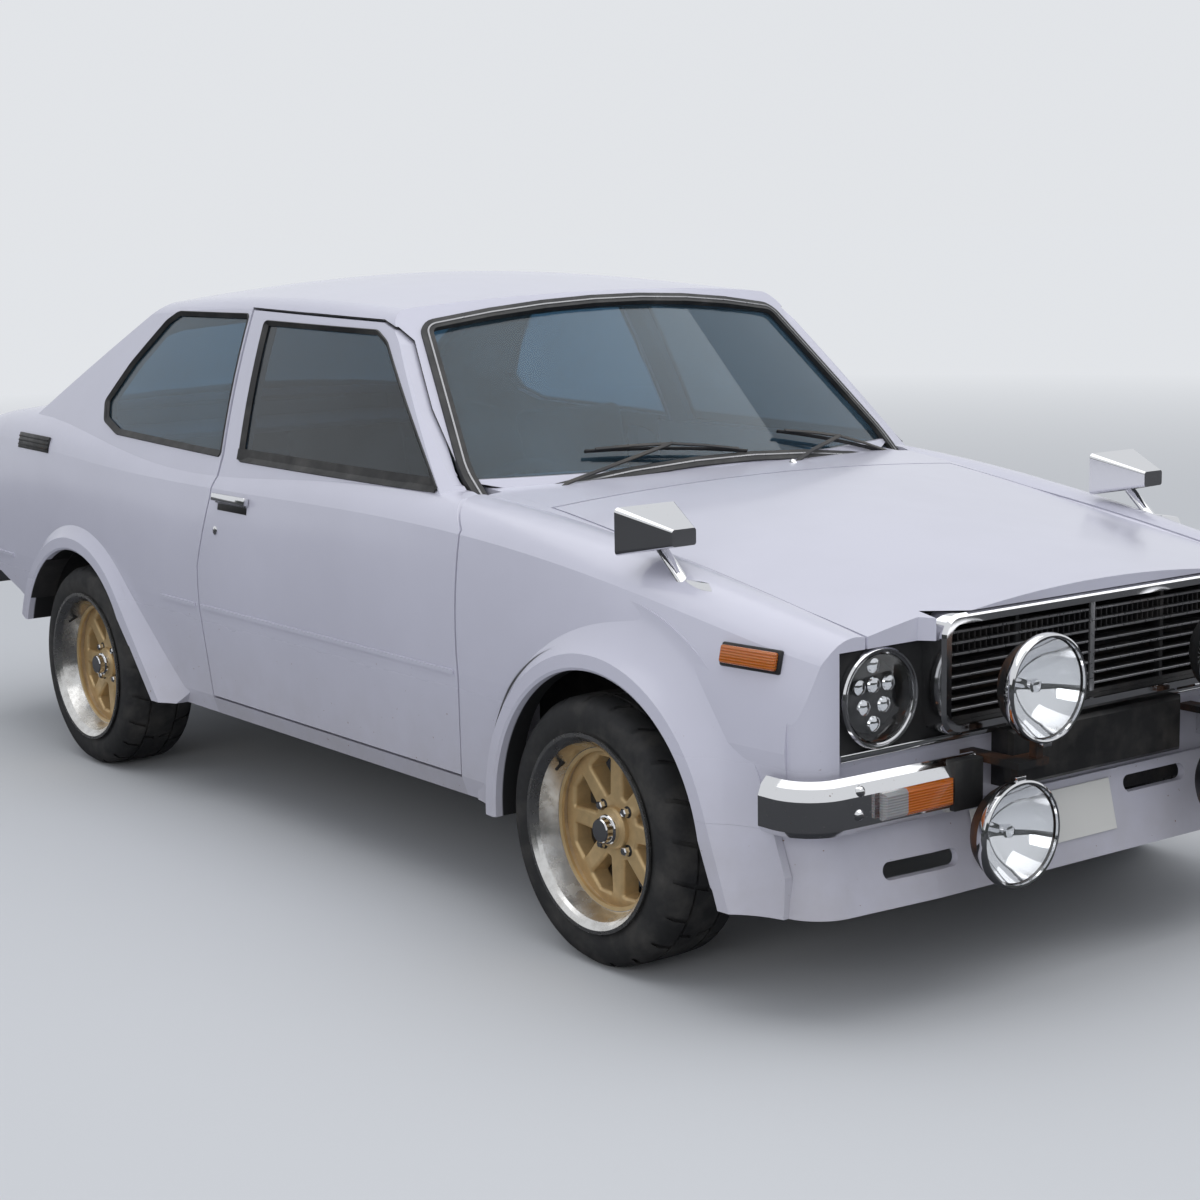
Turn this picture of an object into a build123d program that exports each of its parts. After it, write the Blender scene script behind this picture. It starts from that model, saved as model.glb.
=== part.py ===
"""Two-door rally saloon: hollow bodyshell, hung panels, running gear and plain cabin.

Millimetres. +X forward, +Y to the car's left, +Z up; the origin is on the ground under the middle of the car.
"""
import os
from math import asin, atan2, cos, degrees, pi, radians, sin

from build123d import *

os.makedirs("parts", exist_ok=True)

# Driving dimensions of the whole car
wheelbase = 2370.0
front_reach = 775.0          # front axle to the faces of the upper driving lamps
rear_reach = 925.0           # rear axle to the back of the rear bumper
tyre_radius = 281.0
roof_height = 1365.0
belt_height = 905.0

x_front = (wheelbase + rear_reach - front_reach) / 2
x_rear = x_front - wheelbase

# Clearances
seat_gap = 0.3               # between a piece and what carries it
panel_gap = 6.0              # shut lines round doors and lids
frame_gap = 11.0             # shut line behind a door's window frame, which swings a little rearward
skin = 25.0                  # wings, quarters and lids, with their inner frames
door_thickness = 90.0
pillar_depth = 35.0          # roof and window pillars
screen_recess = 8.0          # glass below the outer skin
screen_thickness = 5.0

# Lower body sections from nose to tail. Columns: axle the station is tied to, distance ahead of it,
# crease half width and height, shoulder half width and height, top edge half width and height, crown height
sill_bottom = 258.0
sill_ledge = 303.0
ledge_step = 22.0
sill_step = 37.0
body_sections = [
    (x_front, 720, 722, 534, 688, 688, 598, 722, 786),
    (x_front, 350, 770, 537, 738, 745, 594, 788, 835),
    (x_front, -100, 785, 540, 762, 812, 604, 858, 892),
    (x_front, -520, 787, 541, 774, 845, 640, 908, 930),
    (x_front, -1300, 788, 541, 774, 850, 648, 924, 938),
    (x_rear, 70, 786, 542, 770, 858, 650, 948, 968),
    (x_rear, -430, 776, 548, 750, 880, 650, 972, 992),
    (x_rear, -980, 742, 560, 716, 848, 634, 892, 932),
]

# Roof and window sections. Columns: axle, distance ahead, foot half width, gutter half width and
# height, crown height
roof_sections = [
    (x_front, -380, 690, 552, 1235, 1262),
    (x_front, -1000, 730, 594, 1274, 1334),
    (x_front, -1600, 742, 602, 1290, roof_height),
    (x_rear, 220, 738, 600, 1266, 1334),
    (x_rear, -520, 706, 585, 1180, 1240),
]
roof_foot = 865.0
roof_edge_in = 55.0          # width of the rounded roof edge
roof_edge_up = 30.0

# Windscreen and rear window, as parts of leaning cylinders
windscreen_foot_x = x_front - 489
windscreen_foot_z = 922.0
windscreen_lean = 41.8       # degrees above the horizontal
windscreen_radius = 2400.0
rear_window_foot_x = x_rear - 500
rear_window_foot_z = 986.0
rear_window_lean = 26.4
rear_window_radius = 5000.0

# Plan outline of the shell
nose_x = x_front + 654
wing_nose_x = x_front + 612
tail_x = x_rear - 872
nose_half_width = 446.0
corner_radius = 95.0
# Rounded corners of the shell in plan. Columns: radius, half width of the body's side where the
# rounding starts
nose_corner = (60.0, 744.0)
tail_corner = (corner_radius, 755.0)

# Doors, in side view
door_front = x_front - 476   # shut line at the crease, where the hinge axis stands
door_rear = x_rear + 697
door_hinge_y = 790.0
door_bottom = 306.0
door_top = 1286.0

# Wheels
wheel_plane = {"front": 694.0, "rear": 688.0}
rim_radius = 207.0
rim_width = 214.0
rim_bore = 25.0
arch_radius = {"front": 342.0, "rear": 330.0}
arch_shift = {"front": 38.0, "rear": -16.0}
# where each arch's front edge meets the bottom
arch_foot = {"front": (430.0, 224.0), "rear": (450.0, 258.0)}
flare_reach = 818.0          # half width at the arch lips
flare_band = 34.0            # flat of the lip before the flare falls back to the skin
flare_width = 150.0          # from the lip to where the flare is lost in the skin
flare_inner = 740.0          # half width at the inner face of the flares
flare_low = tyre_radius - arch_radius["front"] - flare_width - 20

# Steering axis through each front knuckle
ball_joint_y = 620.0
ball_joint_z = 165.0
strut_top_y = 495.0
strut_top_z = 790.0


def chord_arc(start, end, bulge):
    """Arc from start to end standing off its chord by bulge times the chord, to the left of the way it runs."""
    run_y = end[0] - start[0]
    run_z = end[1] - start[1]
    middle = ((start[0] + end[0]) / 2 - bulge * run_z, (start[1] + end[1]) / 2 + bulge * run_y)
    return ThreePointArc(start, middle, end)


def lower_body(inset, foot):
    """Solid of the body below the windows, drawn in from the outer skin by inset, down to height foot."""
    with BuildPart() as hull:
        for axle, ahead, y_crease, z_crease, y_shoulder, z_shoulder, y_top, z_top, z_crown in body_sections:
            with BuildSketch(Plane.YZ.offset(axle + ahead)):
                with BuildLine():
                    corners = [
                        (y_crease - sill_step - inset, foot),
                        (y_crease - ledge_step - inset, sill_ledge),
                        (y_crease - inset, z_crease),
                        (y_shoulder - inset, z_shoulder - inset / 2),
                        (y_top - inset, z_top - inset),
                    ]
                    flipped = [(-y, z) for y, z in corners]
                    Line(flipped[0], corners[0])
                    Polyline(*corners[:3])
                    chord_arc(corners[2], corners[3], -0.03)
                    chord_arc(corners[3], corners[4], -0.17)
                    ThreePointArc(corners[4], (0, z_crown - inset), flipped[4])
                    chord_arc(flipped[4], flipped[3], -0.17)
                    chord_arc(flipped[3], flipped[2], -0.03)
                    Polyline(flipped[2], flipped[1], flipped[0])
                make_face()
        loft()
    return hull.part


def screen_front(foot_x, foot_z, lean, radius, facing, inset):
    """Space outside a leaning window's cylinder; facing is 1 for the windscreen and -1 for the rear window."""
    rise = (-facing * cos(radians(lean)), 0, sin(radians(lean)))
    reach = 1100.0
    sag = radius - (radius**2 - reach**2) ** 0.5
    plane = Plane(origin=(foot_x, 0, foot_z), x_dir=(0, facing, 0), z_dir=rise)
    with BuildPart() as space:
        with BuildSketch(plane):
            with BuildLine():
                ThreePointArc((-reach, sag + inset), (0, inset), (reach, sag + inset))
                Polyline((reach, sag + inset), (reach, -1500), (-reach, -1500), (-reach, sag + inset))
            make_face()
        extrude(amount=1500, both=True)
    return space.part


def windscreen_front(inset):
    return screen_front(windscreen_foot_x, windscreen_foot_z, windscreen_lean, windscreen_radius, 1, inset)


def rear_window_back(inset):
    return screen_front(
        rear_window_foot_x, rear_window_foot_z, rear_window_lean, rear_window_radius, -1, inset
    )


def upper_body(inset, foot):
    """Solid of the roof and windows, drawn in from the outer skin by inset, down to height foot."""
    with BuildPart() as cabin:
        for axle, ahead, y_foot, y_gutter, z_gutter, z_crown in roof_sections:
            lean = (y_foot - y_gutter) / (z_gutter - belt_height)
            y_low = y_foot + lean * (belt_height - foot) - inset
            with BuildSketch(Plane.YZ.offset(axle + ahead)):
                with BuildLine():
                    gutter = (y_gutter - inset, z_gutter - inset / 2)
                    edge = (y_gutter - roof_edge_in - inset, z_gutter + roof_edge_up - inset)
                    Line((-y_low, foot), (y_low, foot))
                    chord_arc((y_low, foot), gutter, -0.02)
                    chord_arc(gutter, edge, -0.12)
                    ThreePointArc(edge, (0, z_crown - inset), (-edge[0], edge[1]))
                    chord_arc((-edge[0], edge[1]), (-gutter[0], gutter[1]), -0.12)
                    chord_arc((-gutter[0], gutter[1]), (-y_low, foot), -0.02)
                make_face()
        loft()
        add(windscreen_front(inset), mode=Mode.SUBTRACT)
        add(rear_window_back(inset), mode=Mode.SUBTRACT)
    return cabin.part


def plan_space(inset):
    """Upright space inside the shell's plan outline, with the nose stepped forward between the headlamps."""
    side = 900.0
    with BuildPart() as space:
        with BuildSketch(Plane.XY):
            with BuildLine():
                Polyline(
                    (tail_x + inset, -side), (wing_nose_x - inset, -side),
                    (wing_nose_x - inset, -nose_half_width - 24),
                    (nose_x - inset, -nose_half_width + 10), (nose_x - inset, nose_half_width - 10),
                    (wing_nose_x - inset, nose_half_width + 24), (wing_nose_x - inset, side),
                    (tail_x + inset, side),
                    close=True,
                )
            make_face()
        extrude(amount=1500)
        with BuildSketch(Plane.XY):
            for x, sign, (radius, half_width) in (
                (wing_nose_x - inset, 1, nose_corner), (tail_x + inset, -1, tail_corner)
            ):
                for y in (-1, 1):
                    y_side = y * (half_width - inset)
                    with BuildLine():
                        centre = (x - sign * radius, y_side - y * radius)
                        corner = (x + sign * 60, y_side + y * 160)
                        start = (x, centre[1])
                        end = (centre[0], y_side)
                        halfway = (
                            centre[0] + sign * radius * cos(pi / 4), centre[1] + y * radius * sin(pi / 4)
                        )
                        ThreePointArc(start, halfway, end)
                        Polyline(end, (end[0], corner[1]), corner, (corner[0], start[1]), start)
                    make_face()
        extrude(amount=1500, mode=Mode.SUBTRACT)
    return space.part


def side_prism(points, inner, outer):
    """Prism of a side-view outline on the car's right, between two half widths."""
    with BuildPart() as prism:
        with BuildSketch(Plane.XZ.offset(inner)):
            with BuildLine():
                Polyline(*points, close=True)
            make_face()
        extrude(amount=outer - inner)
    return prism.part


# Skins that the panels are cut from
low_foot = sill_bottom - 200
with BuildPart() as cavity:
    add(lower_body(skin, low_foot))
    add(plan_space(skin), mode=Mode.INTERSECT)
with BuildPart() as lower_solid:
    add(lower_body(0, sill_bottom))
    add(plan_space(0), mode=Mode.INTERSECT)
cabin_space = upper_body(pillar_depth, roof_foot - 60)
with BuildPart() as lower_skin:
    add(lower_solid.part)
    add(cavity.part, mode=Mode.SUBTRACT)
    add(cabin_space, mode=Mode.SUBTRACT)
with BuildPart() as upper_skin:
    add(upper_body(0, roof_foot))
    add(cabin_space, mode=Mode.SUBTRACT)
    add(lower_solid.part, mode=Mode.SUBTRACT)

# Door shells: as thick as the real ones below the windows and as their frames above
with BuildPart() as door_stock:
    add(lower_solid.part)
    add(lower_body(door_thickness, low_foot), mode=Mode.SUBTRACT)
    add(upper_body(door_thickness, roof_foot - 90), mode=Mode.SUBTRACT)
    add(upper_skin.part)

# Side-view outlines
top = 1600.0
door_outline = [
    (door_front - 31, door_bottom), (door_front - 3, 534), (door_front - 3, 850),
    (x_front - 560, belt_height + 2),
    (x_front - 640, belt_height + 22), (x_front - 800, 1078), (x_front - 946, 1225), (x_front - 985, 1256),
    (x_front - 1040, door_top - 14), (door_rear + 12 + frame_gap, door_top),
    (door_rear + 68 + frame_gap, 930),
    (door_rear + 60 + panel_gap, 824), (door_rear + 4 + panel_gap, 645), (door_rear + panel_gap, 540),
    (door_rear + 16 + panel_gap, door_bottom),
]
opening_outline = [
    (door_front - 28, door_bottom - panel_gap), (door_front + 3, 534), (door_front + 3, 853),
    (x_front - 556, belt_height + 8), (x_front - 636, belt_height + 29), (x_front - 794, 1084),
    (x_front - 940, 1232),
    (x_front - 981, 1263), (x_front - 1038, door_top - 7), (door_rear + 12, door_top + 7),
    (door_rear + 68, 930),
    (door_rear + 60, 824), (door_rear + 4, 645), (door_rear, 540),
    (door_rear + 16, door_bottom - panel_gap),
]
door_glass_outline = [
    (x_front - 650, 916), (x_front - 1000, 1228), (x_front - 1052, 1252), (door_rear + 100, 1260),
    (door_rear + 160, 924),
]
quarter_glass_outline = [
    (door_rear + 58, 928), (door_rear + 2, 1274), (x_rear + 300, 1270), (x_rear + 246, 1246),
    (x_rear + 110, 1128),
    (x_rear + 18, 1022), (x_rear + 46, 972), (x_rear + 140, 944),
]


def trimmed(stock, *regions):
    """What a stock solid and the given regions have in common."""
    with BuildPart() as piece:
        add(stock)
        for region in regions:
            add(region, mode=Mode.INTERSECT)
    return piece.part


def lessened(stock, *regions):
    """A stock solid with the given regions cut away."""
    with BuildPart() as piece:
        add(stock)
        for region in regions:
            add(region, mode=Mode.SUBTRACT)
    return piece.part


def block(x0, x1, y0, y1, z0, z1):
    """Upright block between two corners."""
    with BuildPart() as solid:
        with BuildSketch(Plane.XY.offset(z0)):
            with Locations(((x0 + x1) / 2, (y0 + y1) / 2)):
                Rectangle(x1 - x0, y1 - y0)
        extrude(amount=z1 - z0)
    return solid.part


def across_prism(points, half_width):
    """Prism of a side-view outline right across the car."""
    with BuildPart() as prism:
        with BuildSketch(Plane.XZ):
            with BuildLine():
                Polyline(*points, close=True)
            make_face()
        extrude(amount=half_width, both=True)
    return prism.part


def screen_prism(foot_x, foot_z, lean, facing, low, high, half_low, half_high, rounding):
    """Prism square to a leaning window, from its foot up the slope: two heights, two half widths, round corners."""
    rise = (-facing * cos(radians(lean)), 0, sin(radians(lean)))
    outward = (facing * sin(radians(lean)), 0, cos(radians(lean)))
    plane = Plane(origin=(foot_x, 0, foot_z), x_dir=(0, 1, 0), z_dir=outward)
    up = 1 if plane.y_dir.dot(Vector(*rise)) > 0 else -1
    with BuildPart() as prism:
        with BuildSketch(plane) as outline:
            with BuildLine():
                Polyline(
                    (-half_low, up * low), (half_low, up * low), (half_high, up * high),
                    (-half_high, up * high), close=True
                )
            make_face()
            fillet(outline.vertices(), rounding)
        extrude(amount=220, both=True)
    return prism.part


def arch_run(end):
    """Straight front edge of a wheel arch: where it leaves the circle, its direction down to its foot, its length."""
    axle = x_front if end == "front" else x_rear
    centre = Vector(axle + arch_shift[end], 0, tyre_radius)
    foot = Vector(axle + arch_foot[end][0], 0, arch_foot[end][1])
    reach = (foot - centre).length
    run = (reach**2 - arch_radius[end] ** 2) ** 0.5
    along = (centre - foot).normalized().rotate(Axis.Y, degrees(asin(arch_radius[end] / reach)))
    return foot + along * run, along * -1, run


def arch_cut(end):
    """Wheel arch on one side: a circle that runs out forward in a straight line."""
    axle = x_front if end == "front" else x_rear
    leave, down, run = arch_run(end)
    foot = leave + down * (run + 120)
    with BuildPart() as cut:
        with BuildSketch(Plane.XZ.offset(520)):
            with Locations((axle + arch_shift[end], tyre_radius)):
                Circle(arch_radius[end])
            Polygon((axle, tyre_radius), (leave.X, leave.Z), (foot.X, foot.Z), (axle, foot.Z), align=None)
        extrude(amount=400)
    return cut.part


def flare_section(plane, base):
    """Section of a flare above its lip: a flat band, then a hollow curve that runs into the skin."""
    with BuildSketch(plane) as section:
        with BuildLine():
            Polyline(
                (-flare_inner, base), (-flare_reach + 5, base), (-flare_reach, base + 6),
                (-flare_reach + 2, base + flare_band)
            )
            ThreePointArc(
                (-flare_reach + 2, base + flare_band), (-flare_reach + 37, base + flare_width / 2),
                (-757, base + flare_width)
            )
            Polyline((-757, base + flare_width), (-flare_inner, base + flare_width), (-flare_inner, base))
        make_face()
    return section.sketch


def flare(end):
    """Flare blended round a wheel arch, with its straight run down to the foot."""
    x = (x_front if end == "front" else x_rear) + arch_shift[end]
    leave, down, run = arch_run(end)
    with BuildPart() as ring:
        add(flare_section(Plane.YZ.offset(x), tyre_radius + arch_radius[end]))
        revolve(axis=Axis((x, 0, tyre_radius), (0, 1, 0)), revolution_arc=360)
        add(flare_section(Plane(origin=leave, x_dir=(0, 1, 0), z_dir=down), 0))
        extrude(amount=run + 60, dir=down)
    return ring.part


# Windows
windscreen_low = 936.0
windscreen_open = trimmed(
    screen_prism(windscreen_foot_x, windscreen_foot_z, windscreen_lean, 1, 4, 585, 677, 540, 45),
    block(x_front - 1200, x_front, -644, 644, windscreen_low, 1500),
)
rear_window_open = screen_prism(
    rear_window_foot_x, rear_window_foot_z, rear_window_lean, -1, 36, 622, 600, 520, 60
)
door_glass_open = side_prism(door_glass_outline, 480, 900)
quarter_glass_open = side_prism(quarter_glass_outline, 480, 900)
with BuildPart() as glass_skin:
    add(upper_body(screen_recess, belt_height - 20))
    add(upper_body(screen_recess + screen_thickness, belt_height - 40), mode=Mode.SUBTRACT)

# Regions of the panels
far = 2500.0
bonnet_rear = x_front - 366
bonnet_half = 598.0
boot_front = x_rear - 545
boot_half = 590.0
gutter_line = [
    (x_front - 560, belt_height - 60), (x_front - 560, belt_height + 2),
    (x_front - 637, belt_height + 29.5), (x_front - 795, 1084.5),
    (x_front - 941, 1232.5), (x_front - 982, 1263.5), (x_front - 1039, door_top - 6.5),
    (door_rear + 12, door_top + 7.5),
    (x_rear + 300, door_top - 2), (x_rear + 180, door_top - 22), (x_rear + 20, door_top - 110),
    (x_rear + 20, top), (far, top),
    (far, belt_height - 60),
]
grille_top = 770.0
door_inner = 655.0           # nothing of the door below the belt lies further in than this
door_region = lessened(
    side_prism(door_outline, 500, 900), block(-far, far, -door_inner, 0, 0, belt_height + 40)
)
opening_region = side_prism(opening_outline, 450, 900)
roof_region = across_prism(gutter_line, 900)
nose_region = block(x_front + 520, far, -nose_half_width - 2, nose_half_width + 2, 300, grille_top + 3)

with BuildPart() as bonnet:
    add(lower_skin.part)
    add(block(bonnet_rear, far, -bonnet_half, bonnet_half, 722, top), mode=Mode.INTERSECT)
    add(nose_region, mode=Mode.SUBTRACT)
bonnet.part.label = "bonnet"
export_step(bonnet.part, "parts/bonnet.step")

with BuildPart() as boot_lid:
    add(lower_skin.part)
    add(block(-far, boot_front, -boot_half, boot_half, 700, top), mode=Mode.INTERSECT)
boot_lid.part.label = "boot_lid"
export_step(boot_lid.part, "parts/boot_lid.step")

# Room inside the skins, where the inner pieces lie against them
with BuildPart() as low_room:
    add(lower_body(skin + seat_gap, low_foot))
    add(plan_space(skin + seat_gap), mode=Mode.INTERSECT)

# Front wings, with the flares blended in
nose_bottom = 386.0
nose_panel_half = 668.0
rail_end = wing_nose_x - 30
wing_rear_line = [
    (door_front - 28, 100), (door_front - 28, door_bottom - panel_gap), (door_front + 3, 534),
    (door_front + 3, 853),
    (x_front - 556, belt_height + 8), (x_front - 640, top), (far, top), (far, 100),
]
with BuildPart() as front_wings:
    add(lower_skin.part)
    add(side_prism(wing_rear_line, bonnet_half + panel_gap, 900), mode=Mode.INTERSECT)
    add(lessened(flare("front"), low_room.part))
    add(block(x_front - 900, x_front + 900, -900, -700, flare_low, sill_bottom), mode=Mode.SUBTRACT)
    add(arch_cut("front"), mode=Mode.SUBTRACT)
    add(block(x_front + 100, far, -900, -300, 0, nose_bottom), mode=Mode.SUBTRACT)
    add(block(rail_end, far, -nose_panel_half - seat_gap, 0, 0, 722), mode=Mode.SUBTRACT)
    mirror(about=Plane.XZ)
front_wings.part.label = "front_wings"
export_step(front_wings.part, "parts/front_wings.step")

# Scuttle ahead of the windscreen, with the bonnet's hinge lugs
lug_half_width = 25.0
lid_lug_y = 430.0
wing_line = bonnet_half + panel_gap
with BuildPart() as scuttle:
    add(lower_skin.part)
    add(block(x_front - 700, bonnet_rear - panel_gap, -wing_line, wing_line, 860, top), mode=Mode.INTERSECT)
    for y in (-lid_lug_y, lid_lug_y):
        add(block(
            bonnet_rear - panel_gap - 20, bonnet_rear - seat_gap, y - lug_half_width, y + lug_half_width,
            882, 896
        ))
scuttle.part.label = "scuttle"
export_step(scuttle.part, "parts/scuttle.step")

with BuildPart() as roof:
    add(upper_skin.part)
    add(roof_region, mode=Mode.INTERSECT)
    add(windscreen_open, mode=Mode.SUBTRACT)
    add(rear_window_open, mode=Mode.SUBTRACT)
roof.part.label = "roof"
export_step(roof.part, "parts/roof.step")

# Rear quarters: lower side, window pillar and flare in one
deck_half = boot_half + panel_gap
with BuildPart() as quarter_stock:
    add(lower_skin.part)
    add(upper_skin.part)
    add(rear_window_open, mode=Mode.SUBTRACT)
quarter_side = lessened(
    side_prism([(-far, 100), (-far, top), (door_rear + 300, top), (door_rear + 300, 100)], 0, 900),
    roof_region, opening_region,
    side_prism(
        [
            (door_rear + 16, 90), (door_rear + 16, door_bottom - panel_gap), (door_rear + 16, 320),
            (far, 320), (far, 90)
        ],
        0, 900
    ),
)
tail_underline = [
    (x_rear - 250, 100), (x_rear - 250, 348), (x_rear - 308, 364), (x_rear - 490, 437), (x_rear - 631, 479),
    (tail_x - 60, 500), (tail_x - 60, 100),
]
with BuildPart() as quarter_panels:
    add(quarter_stock.part)
    add(quarter_side, mode=Mode.INTERSECT)
    add(block(-far, far, -deck_half, 900, 100, 960), mode=Mode.SUBTRACT)
    add(block(-far, x_rear - 380, -deck_half, 900, 100, top), mode=Mode.SUBTRACT)
    add(quarter_glass_open, mode=Mode.SUBTRACT)
    add(flare("rear"))
    add(block(x_rear - 900, x_rear + 900, -900, -700, flare_low, sill_bottom), mode=Mode.SUBTRACT)
    add(arch_cut("rear"), mode=Mode.SUBTRACT)
    add(side_prism(tail_underline, 0, 900), mode=Mode.SUBTRACT)
    mirror(about=Plane.XZ)
quarter_panels.part.label = "quarter_panels"
export_step(quarter_panels.part, "parts/quarter_panels.step")
print(
    "quarter solids", len(quarter_panels.part.solids()),
    [round(s.volume) for s in quarter_panels.part.solids()]
)

# Doors with their window frames, and their glass
def largest(part):
    """The main solid of a cut, without slivers."""
    return part.solids().sort_by(SortBy.VOLUME)[-1]


screen_room = trimmed(
    screen_prism(windscreen_foot_x, windscreen_foot_z, windscreen_lean, 1, -8, 597, 689, 552, 45),
    block(x_front - 1200, x_front, -652, 652, windscreen_low - 12, 1500),
)
door_cut = lessened(trimmed(door_stock.part, door_region), door_glass_open, screen_room)
with BuildPart() as door_right:
    add(largest(door_cut))
door_right.part.label = "door_right"
export_step(door_right.part, "parts/door_right.step")

with BuildPart() as door_left:
    add(mirror(door_right.part, about=Plane.XZ))
door_left.part.label = "door_left"
export_step(door_left.part, "parts/door_left.step")

with BuildPart() as door_glass_right:
    add(glass_skin.part)
    add(door_glass_open, mode=Mode.INTERSECT)
door_glass_right.part.label = "door_glass_right"
export_step(door_glass_right.part, "parts/door_glass_right.step")

with BuildPart() as door_glass_left:
    add(mirror(door_glass_right.part, about=Plane.XZ))
door_glass_left.part.label = "door_glass_left"
export_step(door_glass_left.part, "parts/door_glass_left.step")

with BuildPart() as fixed_glass:
    add(trimmed(glass_skin.part, quarter_glass_open))
    mirror(about=Plane.XZ)
    add(trimmed(glass_skin.part, windscreen_open, block(x_front - 1100, far, -800, 800, 800, top)))
    add(lessened(
        trimmed(glass_skin.part, rear_window_open, block(-far, x_rear + 200, -800, 800, 800, top)),
        lower_solid.part
    ))
fixed_glass.part.label = "fixed_glass"
export_step(fixed_glass.part, "parts/fixed_glass.step")
print("fixed glass solids", len(fixed_glass.part.solids()))

# Tail panel under the boot lid, and the deck ahead of it with the parcel shelf
boot_sill = 694.0
with BuildPart() as tail_panel:
    add(lower_skin.part)
    add(block(-far, tail_x + skin, -deck_half, deck_half, 440, boot_sill), mode=Mode.INTERSECT)
tail_panel.part.label = "tail_panel"
export_step(tail_panel.part, "parts/tail_panel.step")

deck_lug_z = 940.0
with BuildPart() as rear_deck:
    add(lower_skin.part)
    add(block(boot_front + panel_gap, x_rear - 380, -deck_half, deck_half, 860, top), mode=Mode.INTERSECT)
    for y in (-lid_lug_y, lid_lug_y):
        add(block(
            boot_front + seat_gap, boot_front + panel_gap + 20, y - lug_half_width, y + lug_half_width,
            deck_lug_z, deck_lug_z + 14
        ))
    add(block(boot_front + panel_gap, x_rear - 130, -560, 560, 890, 902))
    add(block(boot_front + panel_gap, boot_front + panel_gap + 16, -560, 560, 890, 945))
rear_deck.part.label = "rear_deck"
export_step(rear_deck.part, "parts/rear_deck.step")
print("rear deck solids", len(rear_deck.part.solids()))


# Floor, tunnel, bulkheads and rear wheelhouses in one pressed tub
def band(points, thickness, half_width):
    """Sheet right across the car that follows a side-view line, with its thickness above it or behind it."""
    with BuildPart() as sheet:
        with BuildSketch(Plane.XZ):
            with BuildLine():
                Polyline(*points)
                offset(amount=thickness, side=Side.RIGHT, closed=True)
            make_face()
        extrude(amount=half_width, both=True)
    return sheet.part


floor_z = 268.0
sheet = 14.0
floor_half = 628.0
firewall_x = x_front - 395
seat_step_x = x_rear + 480
house_radius = 352.0
house_inner = 558.0
boot_floor_z = 455.0
bulkhead_x = x_rear - 110
axle_slot = 60.0             # half width of the cut for the rear axle in each wheelhouse
with BuildPart() as floor_pan:
    add(band(
        [(firewall_x, 838), (firewall_x, 420), (x_front - 560, floor_z), (seat_step_x, floor_z)], sheet,
        floor_half
    ))
    add(band(
        [
            (seat_step_x + sheet, floor_z), (seat_step_x + sheet, 400), (x_rear + 130, 430),
            (x_rear + 100, 470), (x_rear - 300, 470), (x_rear - 340, boot_floor_z),
            (tail_x + skin + seat_gap, boot_floor_z)
        ],
        sheet, house_inner
    ))
    add(band([(bulkhead_x, 460), (bulkhead_x - 30, 886)], sheet, house_inner))
    with BuildSketch(Plane.YZ.offset(firewall_x - 40)):
        with BuildLine():
            Polyline(
                (-150, floor_z + 6), (-118, 400), (-60, 452), (60, 452), (118, 400), (150, floor_z + 6),
                close=True
            )
        make_face()
    extrude(amount=seat_step_x - firewall_x + 60)
    with BuildSketch(Plane.YZ.offset(firewall_x + 60)):
        with BuildLine():
            Polyline(
                (-136, floor_z - 90), (-106, 392), (-52, 438), (52, 438), (106, 392), (136, floor_z - 90),
                close=True
            )
        make_face()
    extrude(amount=seat_step_x - firewall_x - 120, mode=Mode.SUBTRACT)
    add(block(seat_step_x - 40, seat_step_x + 90, -72, 72, 180, 392), mode=Mode.SUBTRACT)
    for y in (-1, 1):
        with BuildSketch(Plane.XZ.offset(-y * house_inner)):
            with Locations((x_rear, tyre_radius)):
                Circle(house_radius)
            with Locations((x_rear, tyre_radius - house_radius)):
                Rectangle(4 * house_radius, 2 * house_radius, mode=Mode.SUBTRACT)
        extrude(amount=-y * (flare_inner - seat_gap - house_inner))
        with BuildSketch(Plane.XZ.offset(-y * (house_inner + sheet))):
            with Locations((x_rear, tyre_radius)):
                Circle(house_radius - 8)
        extrude(amount=-y * (flare_inner - house_inner), mode=Mode.SUBTRACT)
    add(
        block(x_rear - axle_slot, x_rear + axle_slot, -700, 700, 200, tyre_radius + axle_slot),
        mode=Mode.SUBTRACT
    )
    add(low_room.part, mode=Mode.INTERSECT)
floor_pan.part.label = "floor_pan"
export_step(floor_pan.part, "parts/floor_pan.step")
print("floor solids", len(floor_pan.part.solids()), [round(s.volume) for s in floor_pan.part.solids()])


# Sills and door posts, one frame a side
post_x = (door_rear - 62, door_rear - 16)
sill_front = door_front - 28
sill_rear = door_rear + 16
hinge_heights = (420.0, 700.0)
with BuildPart() as side_frames:
    add(trimmed(
        lower_solid.part, block(sill_rear, sill_front, -900, -floor_half - 2, 0, door_bottom - panel_gap)
    ))
    add(trimmed(
        low_room.part, block(x_rear + 356, firewall_x, -660, -floor_half - seat_gap, sill_bottom, 392)
    ))
    add(trimmed(
        low_room.part, block(firewall_x - 73, firewall_x, -900, -floor_half - seat_gap, sill_bottom, 872)
    ))
    add(trimmed(low_room.part, block(post_x[0], post_x[1], -900, -660, sill_bottom, 905)))
    add(trimmed(low_room.part, block(post_x[0], post_x[1], -662, -floor_half - seat_gap, sill_bottom, 392)))
    for z in hinge_heights:
        add(block(door_front - 3 + seat_gap, firewall_x - 60, -748, -700, z, z + 44))
    mirror(about=Plane.XZ)
side_frames.part.label = "side_frames"
export_step(side_frames.part, "parts/side_frames.step")
print("side frames solids", len(side_frames.part.solids()))

# Inner front wings, strut towers, rails and the panel behind the lamps
steer_lean = atan2(ball_joint_y - strut_top_y, strut_top_z - ball_joint_z)
steer_dir = (0, sin(steer_lean), cos(steer_lean))
tower_radius = 78.0
rail_y = (330.0, 405.0)
inner_wing = 12.0
strut_rod = 11.0


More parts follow.
